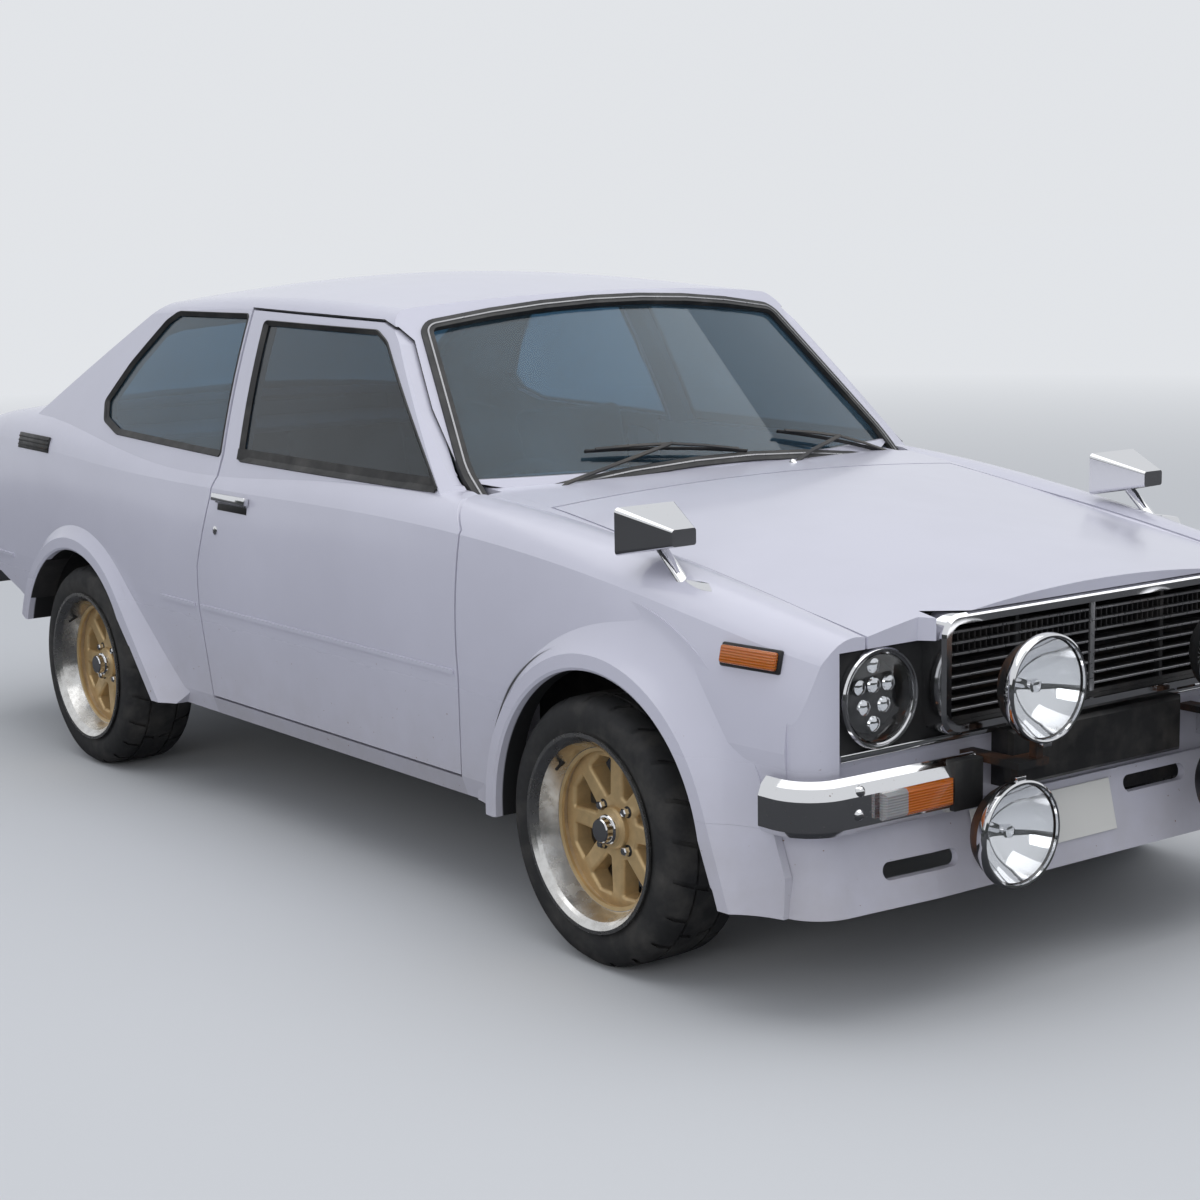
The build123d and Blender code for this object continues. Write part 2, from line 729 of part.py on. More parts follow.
def steer_plane(z):
    """Plane square to the right-hand steering axis where it passes height z."""
    y = -ball_joint_y + (z - ball_joint_z) * (ball_joint_y - strut_top_y) / (strut_top_z - ball_joint_z)
    return Plane(origin=(x_front, y, z), x_dir=(1, 0, 0), z_dir=steer_dir)


shelf_line = [(firewall_x + seat_gap, 800), (rail_end - 120, 680)]
with BuildPart() as inner_right:
    with BuildSketch(Plane.XZ.offset(rail_y[1])):
        with BuildLine():
            Polyline(
                (firewall_x + seat_gap, 330), (firewall_x + seat_gap, 812), (rail_end, 676),
                (rail_end, 330), close=True
            )
        make_face()
    extrude(amount=inner_wing)
    add(block(firewall_x + seat_gap, rail_end, -rail_y[1], -rail_y[0], 330, 400))
    with BuildSketch(Plane.XZ.offset(rail_y[1])):
        with BuildLine():
            Polyline(*shelf_line)
            offset(amount=inner_wing, side=Side.LEFT, closed=True)
        make_face()
    extrude(amount=400)
    with BuildSketch(steer_plane(640)):
        Circle(tower_radius)
    extrude(amount=178)
    with BuildSketch(steer_plane(600)):
        Circle(tower_radius - 8)
    extrude(amount=208, mode=Mode.SUBTRACT)
    with BuildSketch(steer_plane(500)):
        Circle(strut_rod + seat_gap)
    extrude(amount=400, mode=Mode.SUBTRACT)
with BuildPart() as front_structure:
    add(trimmed(inner_right.part, low_room.part))
    mirror(about=Plane.XZ)
    add(block(rail_end - 24, rail_end, -rail_y[1], rail_y[1], 640, 664))
    add(block(rail_end - 24, rail_end, -rail_y[1], rail_y[1], 330, 372))
front_structure.part.label = "front_structure"
export_step(front_structure.part, "parts/front_structure.step")
print(
    "front structure solids", len(front_structure.part.solids()),
    [round(s.volume) for s in front_structure.part.solids()]
)

# Nose panel with the lamp and grille openings
lamp_y = 562.0
lamp_z = 624.0
lamp_radius = 97.0
nose_panel_x = rail_end + seat_gap
nose_panel_t = 14.0
with BuildPart() as nose_panel:
    with BuildSketch(Plane.YZ.offset(nose_panel_x)):
        with BuildLine():
            Polyline(
                (-nose_panel_half, nose_bottom), (nose_panel_half, nose_bottom), (nose_panel_half, 716),
                (440, 716),
                (440, grille_top - 4), (-440, grille_top - 4), (-440, 716), (-nose_panel_half, 716),
                close=True,
            )
        make_face()
        with Locations((-lamp_y, lamp_z), (lamp_y, lamp_z)):
            Circle(lamp_radius - 8, mode=Mode.SUBTRACT)
        with Locations((0, (546 + 756) / 2)):
            Rectangle(860, 756 - 546, mode=Mode.SUBTRACT)
    extrude(amount=nose_panel_t)
nose_panel.part.label = "nose_panel"
export_step(nose_panel.part, "parts/nose_panel.step")
nose_face = nose_panel_x + nose_panel_t + seat_gap

# Grille: chrome surround with the dark bars inside it
grille_bottom = 536.0
grille_half = 444.0
frame_width = 20.0
grille_front = x_front + 656
with BuildPart() as grille_frame:
    with BuildSketch(Plane.YZ.offset(nose_face)) as surround:
        with Locations((0, (grille_bottom + grille_top) / 2)):
            RectangleRounded(2 * grille_half, grille_top - grille_bottom, 44)
            RectangleRounded(
                2 * (grille_half - frame_width), grille_top - grille_bottom - 2 * frame_width, 26,
                mode=Mode.SUBTRACT
            )
    extrude(amount=grille_front - nose_face)
    chamfer(grille_frame.faces().sort_by(Axis.X)[-1].outer_wire().edges(), 7)
grille_frame.part.label = "grille_frame"
export_step(grille_frame.part, "parts/grille_frame.step")

slat_count = 8
slat_height = 7.0
grille_low = grille_bottom + frame_width + seat_gap
grille_high = grille_top - frame_width - seat_gap
grille_inner = grille_half - frame_width - seat_gap
rib_x = (nose_face, nose_face + 26)
with BuildPart() as grille:
    with BuildSketch(Plane.YZ.offset(rib_x[0])):
        with Locations((0, (grille_low + grille_high) / 2)):
            RectangleRounded(2 * grille_inner, grille_high - grille_low, 25)
            RectangleRounded(2 * grille_inner - 16, grille_high - grille_low - 16, 18, mode=Mode.SUBTRACT)
        with Locations([
            (0, grille_low + (grille_high - grille_low) * (i + 1) / (slat_count + 1))
            for i in range(slat_count)
        ]):
            Rectangle(2 * grille_inner - 12, slat_height)
        with Locations([(y, (grille_low + grille_high) / 2) for y in (-212, 0, 212)]):
            Rectangle(10, grille_high - grille_low - 12)
    extrude(amount=rib_x[1] - rib_x[0])
grille.part.label = "grille"
export_step(grille.part, "parts/grille.step")


def dome(base, radius, rise, middle):
    """Three points of a half arc in plan, from the edge of a round lens to its crown on the lens's axis."""
    ball = (radius**2 + rise**2) / (2 * rise)
    halfway = radius / 2
    return (base, middle - radius), (
        base + rise - ball + (ball**2 - halfway**2) ** 0.5, middle - halfway
    ), (base + rise, middle)


# Headlamps: ring, lens and bowl behind the panel
with BuildPart() as headlamps:
    with BuildSketch(Plane.XY.offset(lamp_z)):
        with BuildLine():
            bowl = Polyline(
                (nose_face - 84, -lamp_y), (nose_face - 84, -lamp_y - 36), (nose_face - 22, -lamp_y - 62),
                (rail_end + seat_gap, -lamp_y - 66), (nose_face - nose_panel_t, -lamp_y - lamp_radius + 12),
                (nose_face, -lamp_y - lamp_radius + 12),
                (nose_face, -lamp_y - lamp_radius),
                (nose_face + 14, -lamp_y - lamp_radius), (nose_face + 20, -lamp_y - lamp_radius + 7),
                (nose_face + 14, -lamp_y - 84),
            )
            lens = ThreePointArc(*dome(nose_face + 14, 84, 14, -lamp_y))
            Line(lens @ 1, bowl @ 0)
        make_face()
    revolve(axis=Axis((0, -lamp_y, lamp_z), (1, 0, 0)))
    mirror(about=Plane.XZ)
headlamps.part.label = "headlamps"
export_step(headlamps.part, "parts/headlamps.step")

# Front air dam, wrapped round to the arches
dam_top = nose_bottom - seat_gap
dam_low = 224.0
dam_wall = 16.0


def dam_outline(z, front, side, back, inset):
    """Plan outline of the dam at one height."""
    with BuildSketch(Plane.XY.offset(z)) as outline:
        with BuildLine():
            Polyline(
                (back - 60, -side + inset), (front - 20 - inset, -side + inset), (front - inset, -440),
                (front - inset, 440), (front - 20 - inset, side - inset), (back - 60, side - inset),
                close=True,
            )
        make_face()
        fillet(outline.vertices().group_by(Axis.X)[1], corner_radius - inset)
    return outline.sketch


dam_back = x_front + 345
with BuildPart() as air_dam:
    loft(
        [
            dam_outline(dam_low, x_front + 646, 752, dam_back, 0),
            dam_outline(dam_top, x_front + 606, 742, dam_back, 0)
        ],
        ruled=True
    )
    loft(
        [
            dam_outline(dam_low - 1, x_front + 646, 752, dam_back, dam_wall),
            dam_outline(dam_top + 1, x_front + 606, 742, dam_back, dam_wall),
        ],
        ruled=True, mode=Mode.SUBTRACT,
    )
    add(block(-far, dam_back, -900, 900, 0, 900), mode=Mode.SUBTRACT)
    with BuildSketch(Plane.YZ.offset(x_front + 540)):
        with Locations((-208, 350), (208, 350), (-472, 292), (472, 292)):
            SlotOverall(190, 34)
    extrude(amount=200, mode=Mode.SUBTRACT)
    for y in (-1, 1):
        add(block(rail_end + seat_gap, x_front + 600, y * 370 - 30, y * 370 + 30, 344, dam_top))
    dam_flare = trimmed(flare("front"), block(dam_back, x_front + 560, -900, -700, dam_low, dam_top))
    for side_flare in (dam_flare, mirror(dam_flare, about=Plane.XZ)):
        add(side_flare)
    for side_arch in (arch_cut("front"), mirror(arch_cut("front"), about=Plane.XZ)):
        add(side_arch, mode=Mode.SUBTRACT)
air_dam.part.label = "air_dam"
export_step(air_dam.part, "parts/air_dam.step")
print("dam solids", len(air_dam.part.solids()))


# Wheels. Columns: name, axle, side, distance of the wheel's middle plane from the centre line
wheel_spots = [
    ("front_right", x_front, -1, wheel_plane["front"]),
    ("front_left", x_front, 1, wheel_plane["front"]),
    ("rear_right", x_rear, -1, wheel_plane["rear"]),
    ("rear_left", x_rear, 1, wheel_plane["rear"]),
]
hub_radius = 44.0
hub_back = -40.0             # all distances below run outboard from the wheel's middle plane
spoke_front = 30.0
spoke_back = -12.0
spoke_width = 42.0
spoke_count = 8
spoke_round = 8.0
barrel_radius = 169.0
half_rim = rim_width / 2
rim_profile = [
    (half_rim, rim_radius), (half_rim - 6, rim_radius), (half_rim - 10, 192), (58, 192), (48, 177),
    (-40, 177), (-52, 192),
    (-half_rim + 10, 192), (-half_rim + 6, rim_radius), (-half_rim, rim_radius), (-half_rim, 199),
    (-92, 184), (-56, 184),
    (-44, barrel_radius), (40, barrel_radius), (43, 161), (50, 161), (52, 170), (92, 184), (99, 190),
    (half_rim, 199),
]
tyre_half = 102.5
tread_profile = [
    (92, 268), (78, tyre_radius - 2), (40, tyre_radius), (-40, tyre_radius), (-78, tyre_radius - 2),
    (-92, 268),
]
disc_radius = 105.0
drum_radius = 112.0


def wheel_sketch_points(points, x, side, plane_y):
    """Wheel profile points, given outboard and radially, on a level plane through the wheel's axis."""
    return [(x + radius, side * (plane_y + out)) for out, radius in points]


# One opening between two spokes, along and across its middle line
slot_ends = (70.0, 152.0)
slot_half = [radius * sin(pi / spoke_count) - spoke_width / 2 for radius in slot_ends]
with BuildSketch() as spoke_slot:
    Polygon(
        (slot_ends[0], -slot_half[0]), (slot_ends[1] - 14, -slot_half[1]), (slot_ends[1], 0),
        (slot_ends[1] - 14, slot_half[1]), (slot_ends[0], slot_half[0]), align=None,
    )
    fillet(spoke_slot.vertices(), 4)


for wheel_name, wheel_x, side, plane_y in wheel_spots:
    spin_axis = Axis((wheel_x, 0, tyre_radius), (0, 1, 0))
    level = Plane.XY.offset(tyre_radius)
    front_wheel = wheel_name.startswith("front")
    with BuildPart() as rim:
        with BuildSketch(level):
            with BuildLine():
                Polyline(*wheel_sketch_points(rim_profile, wheel_x, side, plane_y), close=True)
            make_face()
        revolve(axis=spin_axis)
        with BuildSketch(Plane(
            origin=(wheel_x, side * (plane_y + spoke_back), tyre_radius), x_dir=(1, 0, 0),
            z_dir=(0, side, 0)
        )):
            Circle(barrel_radius + 1)
            with PolarLocations(0, spoke_count, start_angle=180 / spoke_count):
                add(spoke_slot.sketch, mode=Mode.SUBTRACT)
        extrude(amount=spoke_front - spoke_back)
        spoke_face = rim.faces().filter_by(Axis.Y).filter_by_position(
            Axis.Y, *sorted((side * (plane_y + spoke_front - 1), side * (plane_y + spoke_front + 1)))
        )
        fillet(
            [edge for face in spoke_face for wire in face.inner_wires() for edge in wire.edges()],
            spoke_round
        )
        with BuildSketch(level):
            with BuildLine():
                hub_line = Polyline(*wheel_sketch_points(
                    [
                        (67, 0), (64, 22), (52, 30), (45, 31), (45, 40), (40, hub_radius),
                        (hub_back, hub_radius), (hub_back, 0), (67, 0)
                    ],
                    wheel_x, side, plane_y
                ))
            make_face()
        revolve(axis=spin_axis)
        with BuildSketch(level):
            with BuildLine():
                Polyline(
                    *wheel_sketch_points(
                        [(20, 0), (20, rim_bore), (hub_back - 1, rim_bore), (hub_back - 1, 0)], wheel_x,
                        side, plane_y
                    ),
                    close=True
                )
            make_face()
        revolve(axis=spin_axis, mode=Mode.SUBTRACT)
        brake = [
            (hub_back - seat_gap, 28), (hub_back - seat_gap, 60), (-42, 60), (-42, disc_radius),
            (-52, disc_radius), (-52, 28)
        ]
        if not front_wheel:
            brake = [
                (hub_back - seat_gap, 28), (hub_back - seat_gap, drum_radius), (-94, drum_radius),
                (-94, 104), (-47, 104), (-47, 28)
            ]
        with BuildSketch(level):
            with BuildLine():
                Polyline(*wheel_sketch_points(brake, wheel_x, side, plane_y), close=True)
            make_face()
        revolve(axis=spin_axis)
    rim.part.label = "rim_" + wheel_name
    export_step(rim.part, "parts/rim_" + wheel_name + ".step")

    with BuildPart() as tyre:
        with BuildSketch(level):
            with BuildLine():
                Polyline(*wheel_sketch_points(
                    [(-97, 206), (-97, 192.3), (97, 192.3), (97, 206)], wheel_x, side, plane_y
                ))
                ThreePointArc(*wheel_sketch_points(
                    [(97, 206), (tyre_half, 236), (92, 268)], wheel_x, side, plane_y
                ))
                Polyline(*wheel_sketch_points(tread_profile, wheel_x, side, plane_y))
                ThreePointArc(*wheel_sketch_points(
                    [(-92, 268), (-tyre_half, 236), (-97, 206)], wheel_x, side, plane_y
                ))
            make_face()
        revolve(axis=spin_axis)
    tyre.part.label = "tyre_" + wheel_name
    export_step(tyre.part, "parts/tyre_" + wheel_name + ".step")

# Front knuckles: hub spindle, upright, strut and brake caliper, all turning about the steering axis
knuckle_radius = 20.0
spring_radius = 60.0
caliper_x = (58.0, 112.0)
front_plane_y = wheel_plane["front"]


def hub_y(out):
    """Y on the car's right of a plane that lies outboard of the front wheel's middle by out."""
    return -(front_plane_y + out)


with BuildPart() as knuckle_right:
    with BuildSketch(steer_plane(165)):
        Circle(knuckle_radius)
    extrude(amount=(strut_top_z - 120 - 165) / cos(steer_lean))
    with BuildSketch(steer_plane(600)):
        Circle(spring_radius)
    extrude(amount=90)
    with BuildSketch(steer_plane(670)):
        Circle(strut_rod)
    extrude(amount=(strut_top_z + 18 - 670) / cos(steer_lean))
    with BuildSketch(Plane.XZ.offset(-hub_y(-112))):
        with Locations((x_front, tyre_radius)):
            Circle(rim_bore - seat_gap)
    extrude(amount=112 + 19)
    with BuildSketch(Plane.XZ.offset(-hub_y(-108))):
        with Locations((x_front, tyre_radius)):
            Circle(46)
    extrude(amount=44)
    add(block(
        x_front + 10, x_front + caliper_x[0] + 10, hub_y(-64), hub_y(-84), tyre_radius - 30,
        tyre_radius + 30
    ))
    with BuildSketch(Plane.XZ.offset(-hub_y(-76))):
        with Locations((x_front + (caliper_x[0] + caliper_x[1]) / 2 + 10, tyre_radius)):
            RectangleRounded(caliper_x[1] - caliper_x[0] + 10, 130, 18)
    extrude(amount=50)
    with BuildSketch(Plane.XZ.offset(-hub_y(-57))):
        with Locations((x_front, tyre_radius)):
            Circle(disc_radius + 5)
    extrude(amount=20, mode=Mode.SUBTRACT)
    with BuildSketch(Plane.XZ.offset(-hub_y(-60))):
        with Locations((x_front, tyre_radius)):
            Circle(rim_bore - seat_gap)
    extrude(amount=60 + 19)
knuckle_right.part.label = "knuckle_right"
export_step(knuckle_right.part, "parts/knuckle_right.step")

with BuildPart() as knuckle_left:
    add(mirror(knuckle_right.part, about=Plane.XZ))
knuckle_left.part.label = "knuckle_left"
export_step(knuckle_left.part, "parts/knuckle_left.step")
print("knuckle solids", len(knuckle_right.part.solids()))

# Front crossmember, lower arms and anti-roll bar
member_top = 270.0
arm_top = 158.0
with BuildPart() as front_suspension:
    add(block(x_front - 55, x_front + 55, -rail_y[1], rail_y[1], 196, member_top - seat_gap))
    for y in (-1, 1):
        add(block(
            x_front - 55, x_front + 55, y * (rail_y[0] + 35) - 35, y * (rail_y[0] + 35) + 35, 196,
            330 - seat_gap
        ))
        with BuildSketch(Plane.XY.offset(arm_top - 20)):
            with BuildLine():
                Polyline(
                    (x_front - 40, y * 330), (x_front - 16, y * ball_joint_y),
                    (x_front + 16, y * ball_joint_y), (x_front + 40, y * 330), close=True
                )
            make_face()
        extrude(amount=20)
        add(block(x_front - 40, x_front + 40, y * 350 - 25, y * 350 + 25, arm_top - 20, 200))
    with BuildSketch(Plane(origin=(x_front + 30, -350, arm_top + 9), x_dir=(0, 1, 0), z_dir=(1, 0, 0))):
        Circle(10)
    with BuildLine():
        FilletPolyline(
            (x_front + 30, -350, arm_top + 9), (x_front + 400, -350, arm_top + 9),
            (x_front + 400, 350, arm_top + 9), (x_front + 30, 350, arm_top + 9), radius=60
        )
    sweep()
front_suspension.part.label = "front_suspension"
export_step(front_suspension.part, "parts/front_suspension.step")
print("front suspension solids", len(front_suspension.part.solids()))

# Rear axle with its springs and propeller shaft
leaf_y = 470.0
rear_plane_y = wheel_plane["rear"]
leaf_top = tyre_radius - 36
with BuildPart() as rear_axle:
    with BuildSketch(Plane.XZ):
        with Locations((x_rear, tyre_radius)):
            Circle(36)
    extrude(amount=rear_plane_y - 98, both=True)
    with BuildSketch(Plane.XZ):
        with Locations((x_rear, tyre_radius)):
            Circle(rim_bore - seat_gap)
    extrude(amount=rear_plane_y + 19, both=True)
    with BuildSketch(Plane.XY.offset(tyre_radius)):
        with BuildLine():
            ThreePointArc((x_rear, -150), (x_rear + 112, 0), (x_rear, 150))
            Line((x_rear, 150), (x_rear, -150))
        make_face()
    revolve(axis=Axis((x_rear, 0, tyre_radius), (0, 1, 0)))
    with BuildSketch(Plane.YZ.offset(x_rear)):
        with Locations((0, tyre_radius)):
            Circle(34)
    extrude(amount=wheelbase - 930)
    for y in (-1, 1):
        with BuildSketch(Plane.XZ.offset(-y * leaf_y - 30)):
            with BuildLine():
                ThreePointArc(
                    (x_rear - 560, leaf_top + 60), (x_rear, leaf_top), (x_rear + 560, leaf_top - 14)
                )
                offset(amount=22, side=Side.RIGHT, closed=True)
            make_face()
        extrude(amount=60)
        add(block(x_rear - 60, x_rear + 60, y * leaf_y - 38, y * leaf_y + 38, leaf_top - 34, tyre_radius))
        with BuildSketch(Plane.XZ.offset(-y * (rear_plane_y - 103))):
            with Locations((x_rear, tyre_radius)):
                Circle(drum_radius)
        extrude(amount=-y * 6)
rear_axle.part.label = "rear_axle"
export_step(rear_axle.part, "parts/rear_axle.step")
print("rear axle solids", len(rear_axle.part.solids()), rear_axle.part.bounding_box())

# Bumpers: chrome quarter bumpers in front, one across the back
bumper_half_height = 52.0
bumper_face = x_front + 660
bumper_z = 441.0
rear_face = x_rear - rear_reach


def bumper_section(plane):
    """Bumper section: a flat face with rolled edges; local x runs out of the face, local y up."""
    with BuildSketch(plane) as section:
        with BuildLine():
            Polyline(
                (-24, -bumper_half_height), (-10, -bumper_half_height), (0, -40), (0, 18), (-9, 40),
                (-22, bumper_half_height),
                (-28, bumper_half_height), close=True,
            )
        make_face()
    return section.sketch


with BuildPart() as bumpers:
    with BuildLine(Plane.XY.offset(bumper_z)):
        FilletPolyline((bumper_face, -344), (bumper_face - 12, -786), (x_front + 520, -788), radius=96)
    add(bumper_section(Plane(origin=(bumper_face, -344, bumper_z), x_dir=(1, 0, 0), z_dir=(0, -1, 0))))
    sweep()
    add(block(nose_face, bumper_face - 20, -420, -360, bumper_z - 24, bumper_z + 24))
    mirror(about=Plane.XZ)
    with BuildLine(Plane.XY.offset(bumper_z + 14)):
        FilletPolyline(
            (x_rear - 690, -788), (rear_face + 8, -784), (rear_face, 0), (rear_face + 8, 784),
            (x_rear - 690, 788), radius=96
        )
    add(bumper_section(Plane(origin=(x_rear - 690, -788, bumper_z + 14), x_dir=(0, -1, 0), z_dir=(-1, 0, 0))))
    sweep()
    for y in (-400, 400):
        add(block(rear_face + 20, tail_x - seat_gap, y - 30, y + 30, bumper_z - 10, bumper_z + 38))
bumpers.part.label = "bumpers"
export_step(bumpers.part, "parts/bumpers.step")
print("bumpers", len(bumpers.part.solids()), bumpers.part.bounding_box())

with BuildPart() as bumper_bar:
    add(block(nose_face, x_front + 648, -254, 254, 407, 523))
    chamfer(bumper_bar.faces().sort_by(Axis.X)[-1].edges(), 8)
bumper_bar.part.label = "bumper_bar"
export_step(bumper_bar.part, "parts/bumper_bar.step")

with BuildPart() as indicators:
    add(block(bumper_face - 1 + seat_gap, bumper_face + 14, -612, -430, 409, 461))
    chamfer(indicators.faces().sort_by(Axis.X)[-1].edges(), 6)
    mirror(about=Plane.XZ)
indicators.part.label = "indicators"
export_step(indicators.part, "parts/indicators.step")

with BuildPart() as tail_lamps:
    add(block(tail_x - 26, tail_x - seat_gap, -584, -330, 548, 672))
    chamfer(tail_lamps.faces().sort_by(Axis.X)[0].edges(), 8)
    mirror(about=Plane.XZ)
tail_lamps.part.label = "tail_lamps"
export_step(tail_lamps.part, "parts/tail_lamps.step")

# Driving lamps on their brackets. Columns: half width, height, lens front ahead of the axle
driving_lamps = [(277, 627, 775), (327, 349, 757)]
driving_radius = 106.0
bracket_z = (476.0, 490.0)
with BuildPart() as driving_lamp_set:
    for lamp_half, height, ahead in driving_lamps:
        front = x_front + ahead
        with BuildSketch(Plane.XY.offset(height)):
            with BuildLine():
                case = Polyline(
                    (front - 98, -lamp_half), (front - 98, -lamp_half - 30), (front - 80, -lamp_half - 66),
                    (front - 50, -lamp_half - 92),
                    (front - 26, -lamp_half - 100), (front - 26, -lamp_half - driving_radius),
                    (front - 10, -lamp_half - driving_radius),
                    (front - 6, -lamp_half - driving_radius + 6), (front - 10, -lamp_half - 96),
                )
                glass = ThreePointArc(*dome(front - 10, 96, 10, -lamp_half))
                Line(glass @ 1, case @ 0)
            make_face()
        revolve(axis=Axis((0, -lamp_half, height), (1, 0, 0)))
    mirror(about=Plane.XZ)
driving_lamp_set.part.label = "driving_lamps"
export_step(driving_lamp_set.part, "parts/driving_lamps.step")
print("driving lamps", driving_lamp_set.part.bounding_box(), len(driving_lamp_set.part.solids()))

upper_lamp, lower_lamp = driving_lamps
stud_x = x_front + upper_lamp[2] - 40
with BuildPart() as lamp_brackets:
    add(block(nose_face, stud_x + 16, -lower_lamp[0] - 14, -lower_lamp[0] + 22, bracket_z[0], bracket_z[1]))
    add(block(
        stud_x - 34, stud_x + 16, -lower_lamp[0] - 14, -upper_lamp[0] + 18, bracket_z[0], bracket_z[1]
    ))
    add(block(
        stud_x - 9, stud_x + 9, -upper_lamp[0] - 9, -upper_lamp[0] + 9, bracket_z[0], upper_lamp[1] - 98
    ))
    add(block(
        stud_x - 27, stud_x - 9, -lower_lamp[0] - 9, -lower_lamp[0] + 9, lower_lamp[1] + 98, bracket_z[1]
    ))
    add(driving_lamp_set.part, mode=Mode.SUBTRACT)
    mirror(about=Plane.XZ)
lamp_brackets.part.label = "lamp_brackets"
export_step(lamp_brackets.part, "parts/lamp_brackets.step")
print("brackets", len(lamp_brackets.part.solids()))

# Wing mirrors
mirror_x = x_front + 132
with BuildPart() as wing_mirrors:
    with BuildSketch(Plane.YZ.offset(mirror_x - 62)):
        with Locations((-690, 902)):
            RectangleRounded(156, 96, 10)
    with BuildSketch(Plane.YZ.offset(mirror_x + 60)):
        with Locations((-690, 896)):
            RectangleRounded(60, 34, 6)
    loft(ruled=True)
    with BuildSketch(Plane(origin=(mirror_x - 10, -690, 866), x_dir=(0, 1, 0), z_dir=(0.75, 0, -0.66))):
        Ellipse(14, 9)
    extrude(amount=110)
    with BuildSketch(Plane.XY.offset(740)):
        with Locations((x_front + 225, -690)):
            Ellipse(68, 24)
    extrude(amount=74, taper=14)
    add(lower_solid.part, mode=Mode.SUBTRACT)
    mirror(about=Plane.XZ)
wing_mirrors.part.label = "wing_mirrors"
export_step(wing_mirrors.part, "parts/wing_mirrors.step")
print("mirrors", len(wing_mirrors.part.solids()), [round(s.volume) for s in wing_mirrors.part.solids()])

# Cabin: dashboard, steering wheel, seats
driver_y = -362.0
dash_half = 606.0
with BuildPart() as dashboard:
    add(across_prism(
        [
            (firewall_x - sheet - seat_gap, 836), (firewall_x - 330, 872), (firewall_x - 366, 840),
            (firewall_x - 350, 716), (firewall_x - 250, 640), (firewall_x - sheet - seat_gap, 660)
        ],
        dash_half
    ))
dashboard.part.label = "dashboard"
export_step(dashboard.part, "parts/dashboard.step")

wheel_tilt = 24.0
wheel_centre = (firewall_x - 470, driver_y, 776)
wheel_face = Plane(
    origin=wheel_centre, x_dir=(0, 1, 0), z_dir=(-cos(radians(wheel_tilt)), 0, sin(radians(wheel_tilt)))
)
wheel_ring = 176.0
with BuildPart() as steering_wheel:
    with BuildSketch(Plane(
        origin=wheel_face.from_local_coords((wheel_ring, 0, 0)), x_dir=wheel_face.x_dir,
        z_dir=wheel_face.y_dir
    )):
        Circle(14)
    revolve(axis=Axis(wheel_centre, wheel_face.z_dir))
    with BuildSketch(wheel_face.offset(-34)):
        Circle(44)
    extrude(amount=34)
    with BuildSketch(wheel_face.offset(-10)):
        for angle in (0, 180, 270):
            with Locations(Pos(wheel_ring / 2 * cos(radians(angle)), wheel_ring / 2 * sin(radians(angle)))):
                Rectangle(wheel_ring, 26, rotation=angle)
    extrude(amount=6)
    with BuildSketch(wheel_face.offset(-30)):
        Circle(22)
    extrude(amount=-190)
    add(dashboard.part, mode=Mode.SUBTRACT)
steering_wheel.part.label = "steering_wheel"
export_step(steering_wheel.part, "parts/steering_wheel.step")
print("steering wheel", len(steering_wheel.part.solids()), steering_wheel.part.bounding_box())

seat_y = 362.0
seat_front = firewall_x - 560
seat_half = 205.0
seat_base = floor_z + sheet + seat_gap
with BuildPart() as front_seats:
    with BuildSketch(Plane.XZ.offset(seat_y - seat_half)):
        with BuildLine():
            Polyline(
                (seat_front, seat_base), (seat_front + 10, 440), (seat_front - 60, 470),
                (seat_front - 440, 430), (seat_front - 610, 1010),
                (seat_front - 690, 1020), (seat_front - 740, 980), (seat_front - 600, 430),
                (seat_front - 560, seat_base), close=True,
            )
        make_face()
    extrude(amount=2 * seat_half)
    fillet(front_seats.edges().group_by(Axis.Y)[0] + front_seats.edges().group_by(Axis.Y)[-1], 24)
    mirror(about=Plane.XZ)
front_seats.part.label = "front_seats"
export_step(front_seats.part, "parts/front_seats.step")
print("front seats", len(front_seats.part.solids()))

with BuildPart() as rear_seat:
    add(across_prism(
        [
            (x_rear + 540, 458), (x_rear + 540, 474), (x_rear + 120, 510), (x_rear - 20, 878),
            (x_rear - 118, 878), (x_rear - 94, 486), (x_rear + 88, 486), (x_rear + 98, 494),
            (x_rear + 146, 446), (x_rear + 496, 418), (x_rear + 496, 456)
        ],
        house_inner - 6
    ))
rear_seat.part.label = "rear_seat"
export_step(rear_seat.part, "parts/rear_seat.step")

# Engine, gearbox and radiator as plain blocks; exhaust
with BuildPart() as engine:
    add(block(x_front - 320, x_front + 270, -190, 190, member_top, 760))
    add(block(x_front - 900, x_front - 318, -84, 84, 286, 400))
    add(block(x_front + 470, x_front + 530, -300, 300, 373, 640 - seat_gap))
    fillet(engine.edges().filter_by(Axis.X), 12)
engine.part.label = "engine"
export_step(engine.part, "parts/engine.step")
print("engine", len(engine.part.solids()))

exhaust_y = 250.0
with BuildPart() as exhaust:
    with BuildLine():
        FilletPolyline(
            (x_front - 200, 220, 330), (x_front - 330, exhaust_y, 225), (x_rear + 330, exhaust_y, 225),
            (x_rear + 160, exhaust_y, 372),
            (x_rear - 170, exhaust_y, 372), (x_rear - 400, exhaust_y, 330),
            (rear_face + 30, exhaust_y, 330), radius=60,
        )
    with BuildSketch(Plane(origin=(x_front - 200, 220, 330), z_dir=(-130, 30, -105))):
        Circle(24)
    sweep()
    with BuildSketch(Plane.YZ.offset(x_rear + 420)):
        with Locations((exhaust_y, 225)):
            Ellipse(88, 38)
    extrude(amount=460)
exhaust.part.label = "exhaust"
export_step(exhaust.part, "parts/exhaust.step")
print("exhaust", len(exhaust.part.solids()))
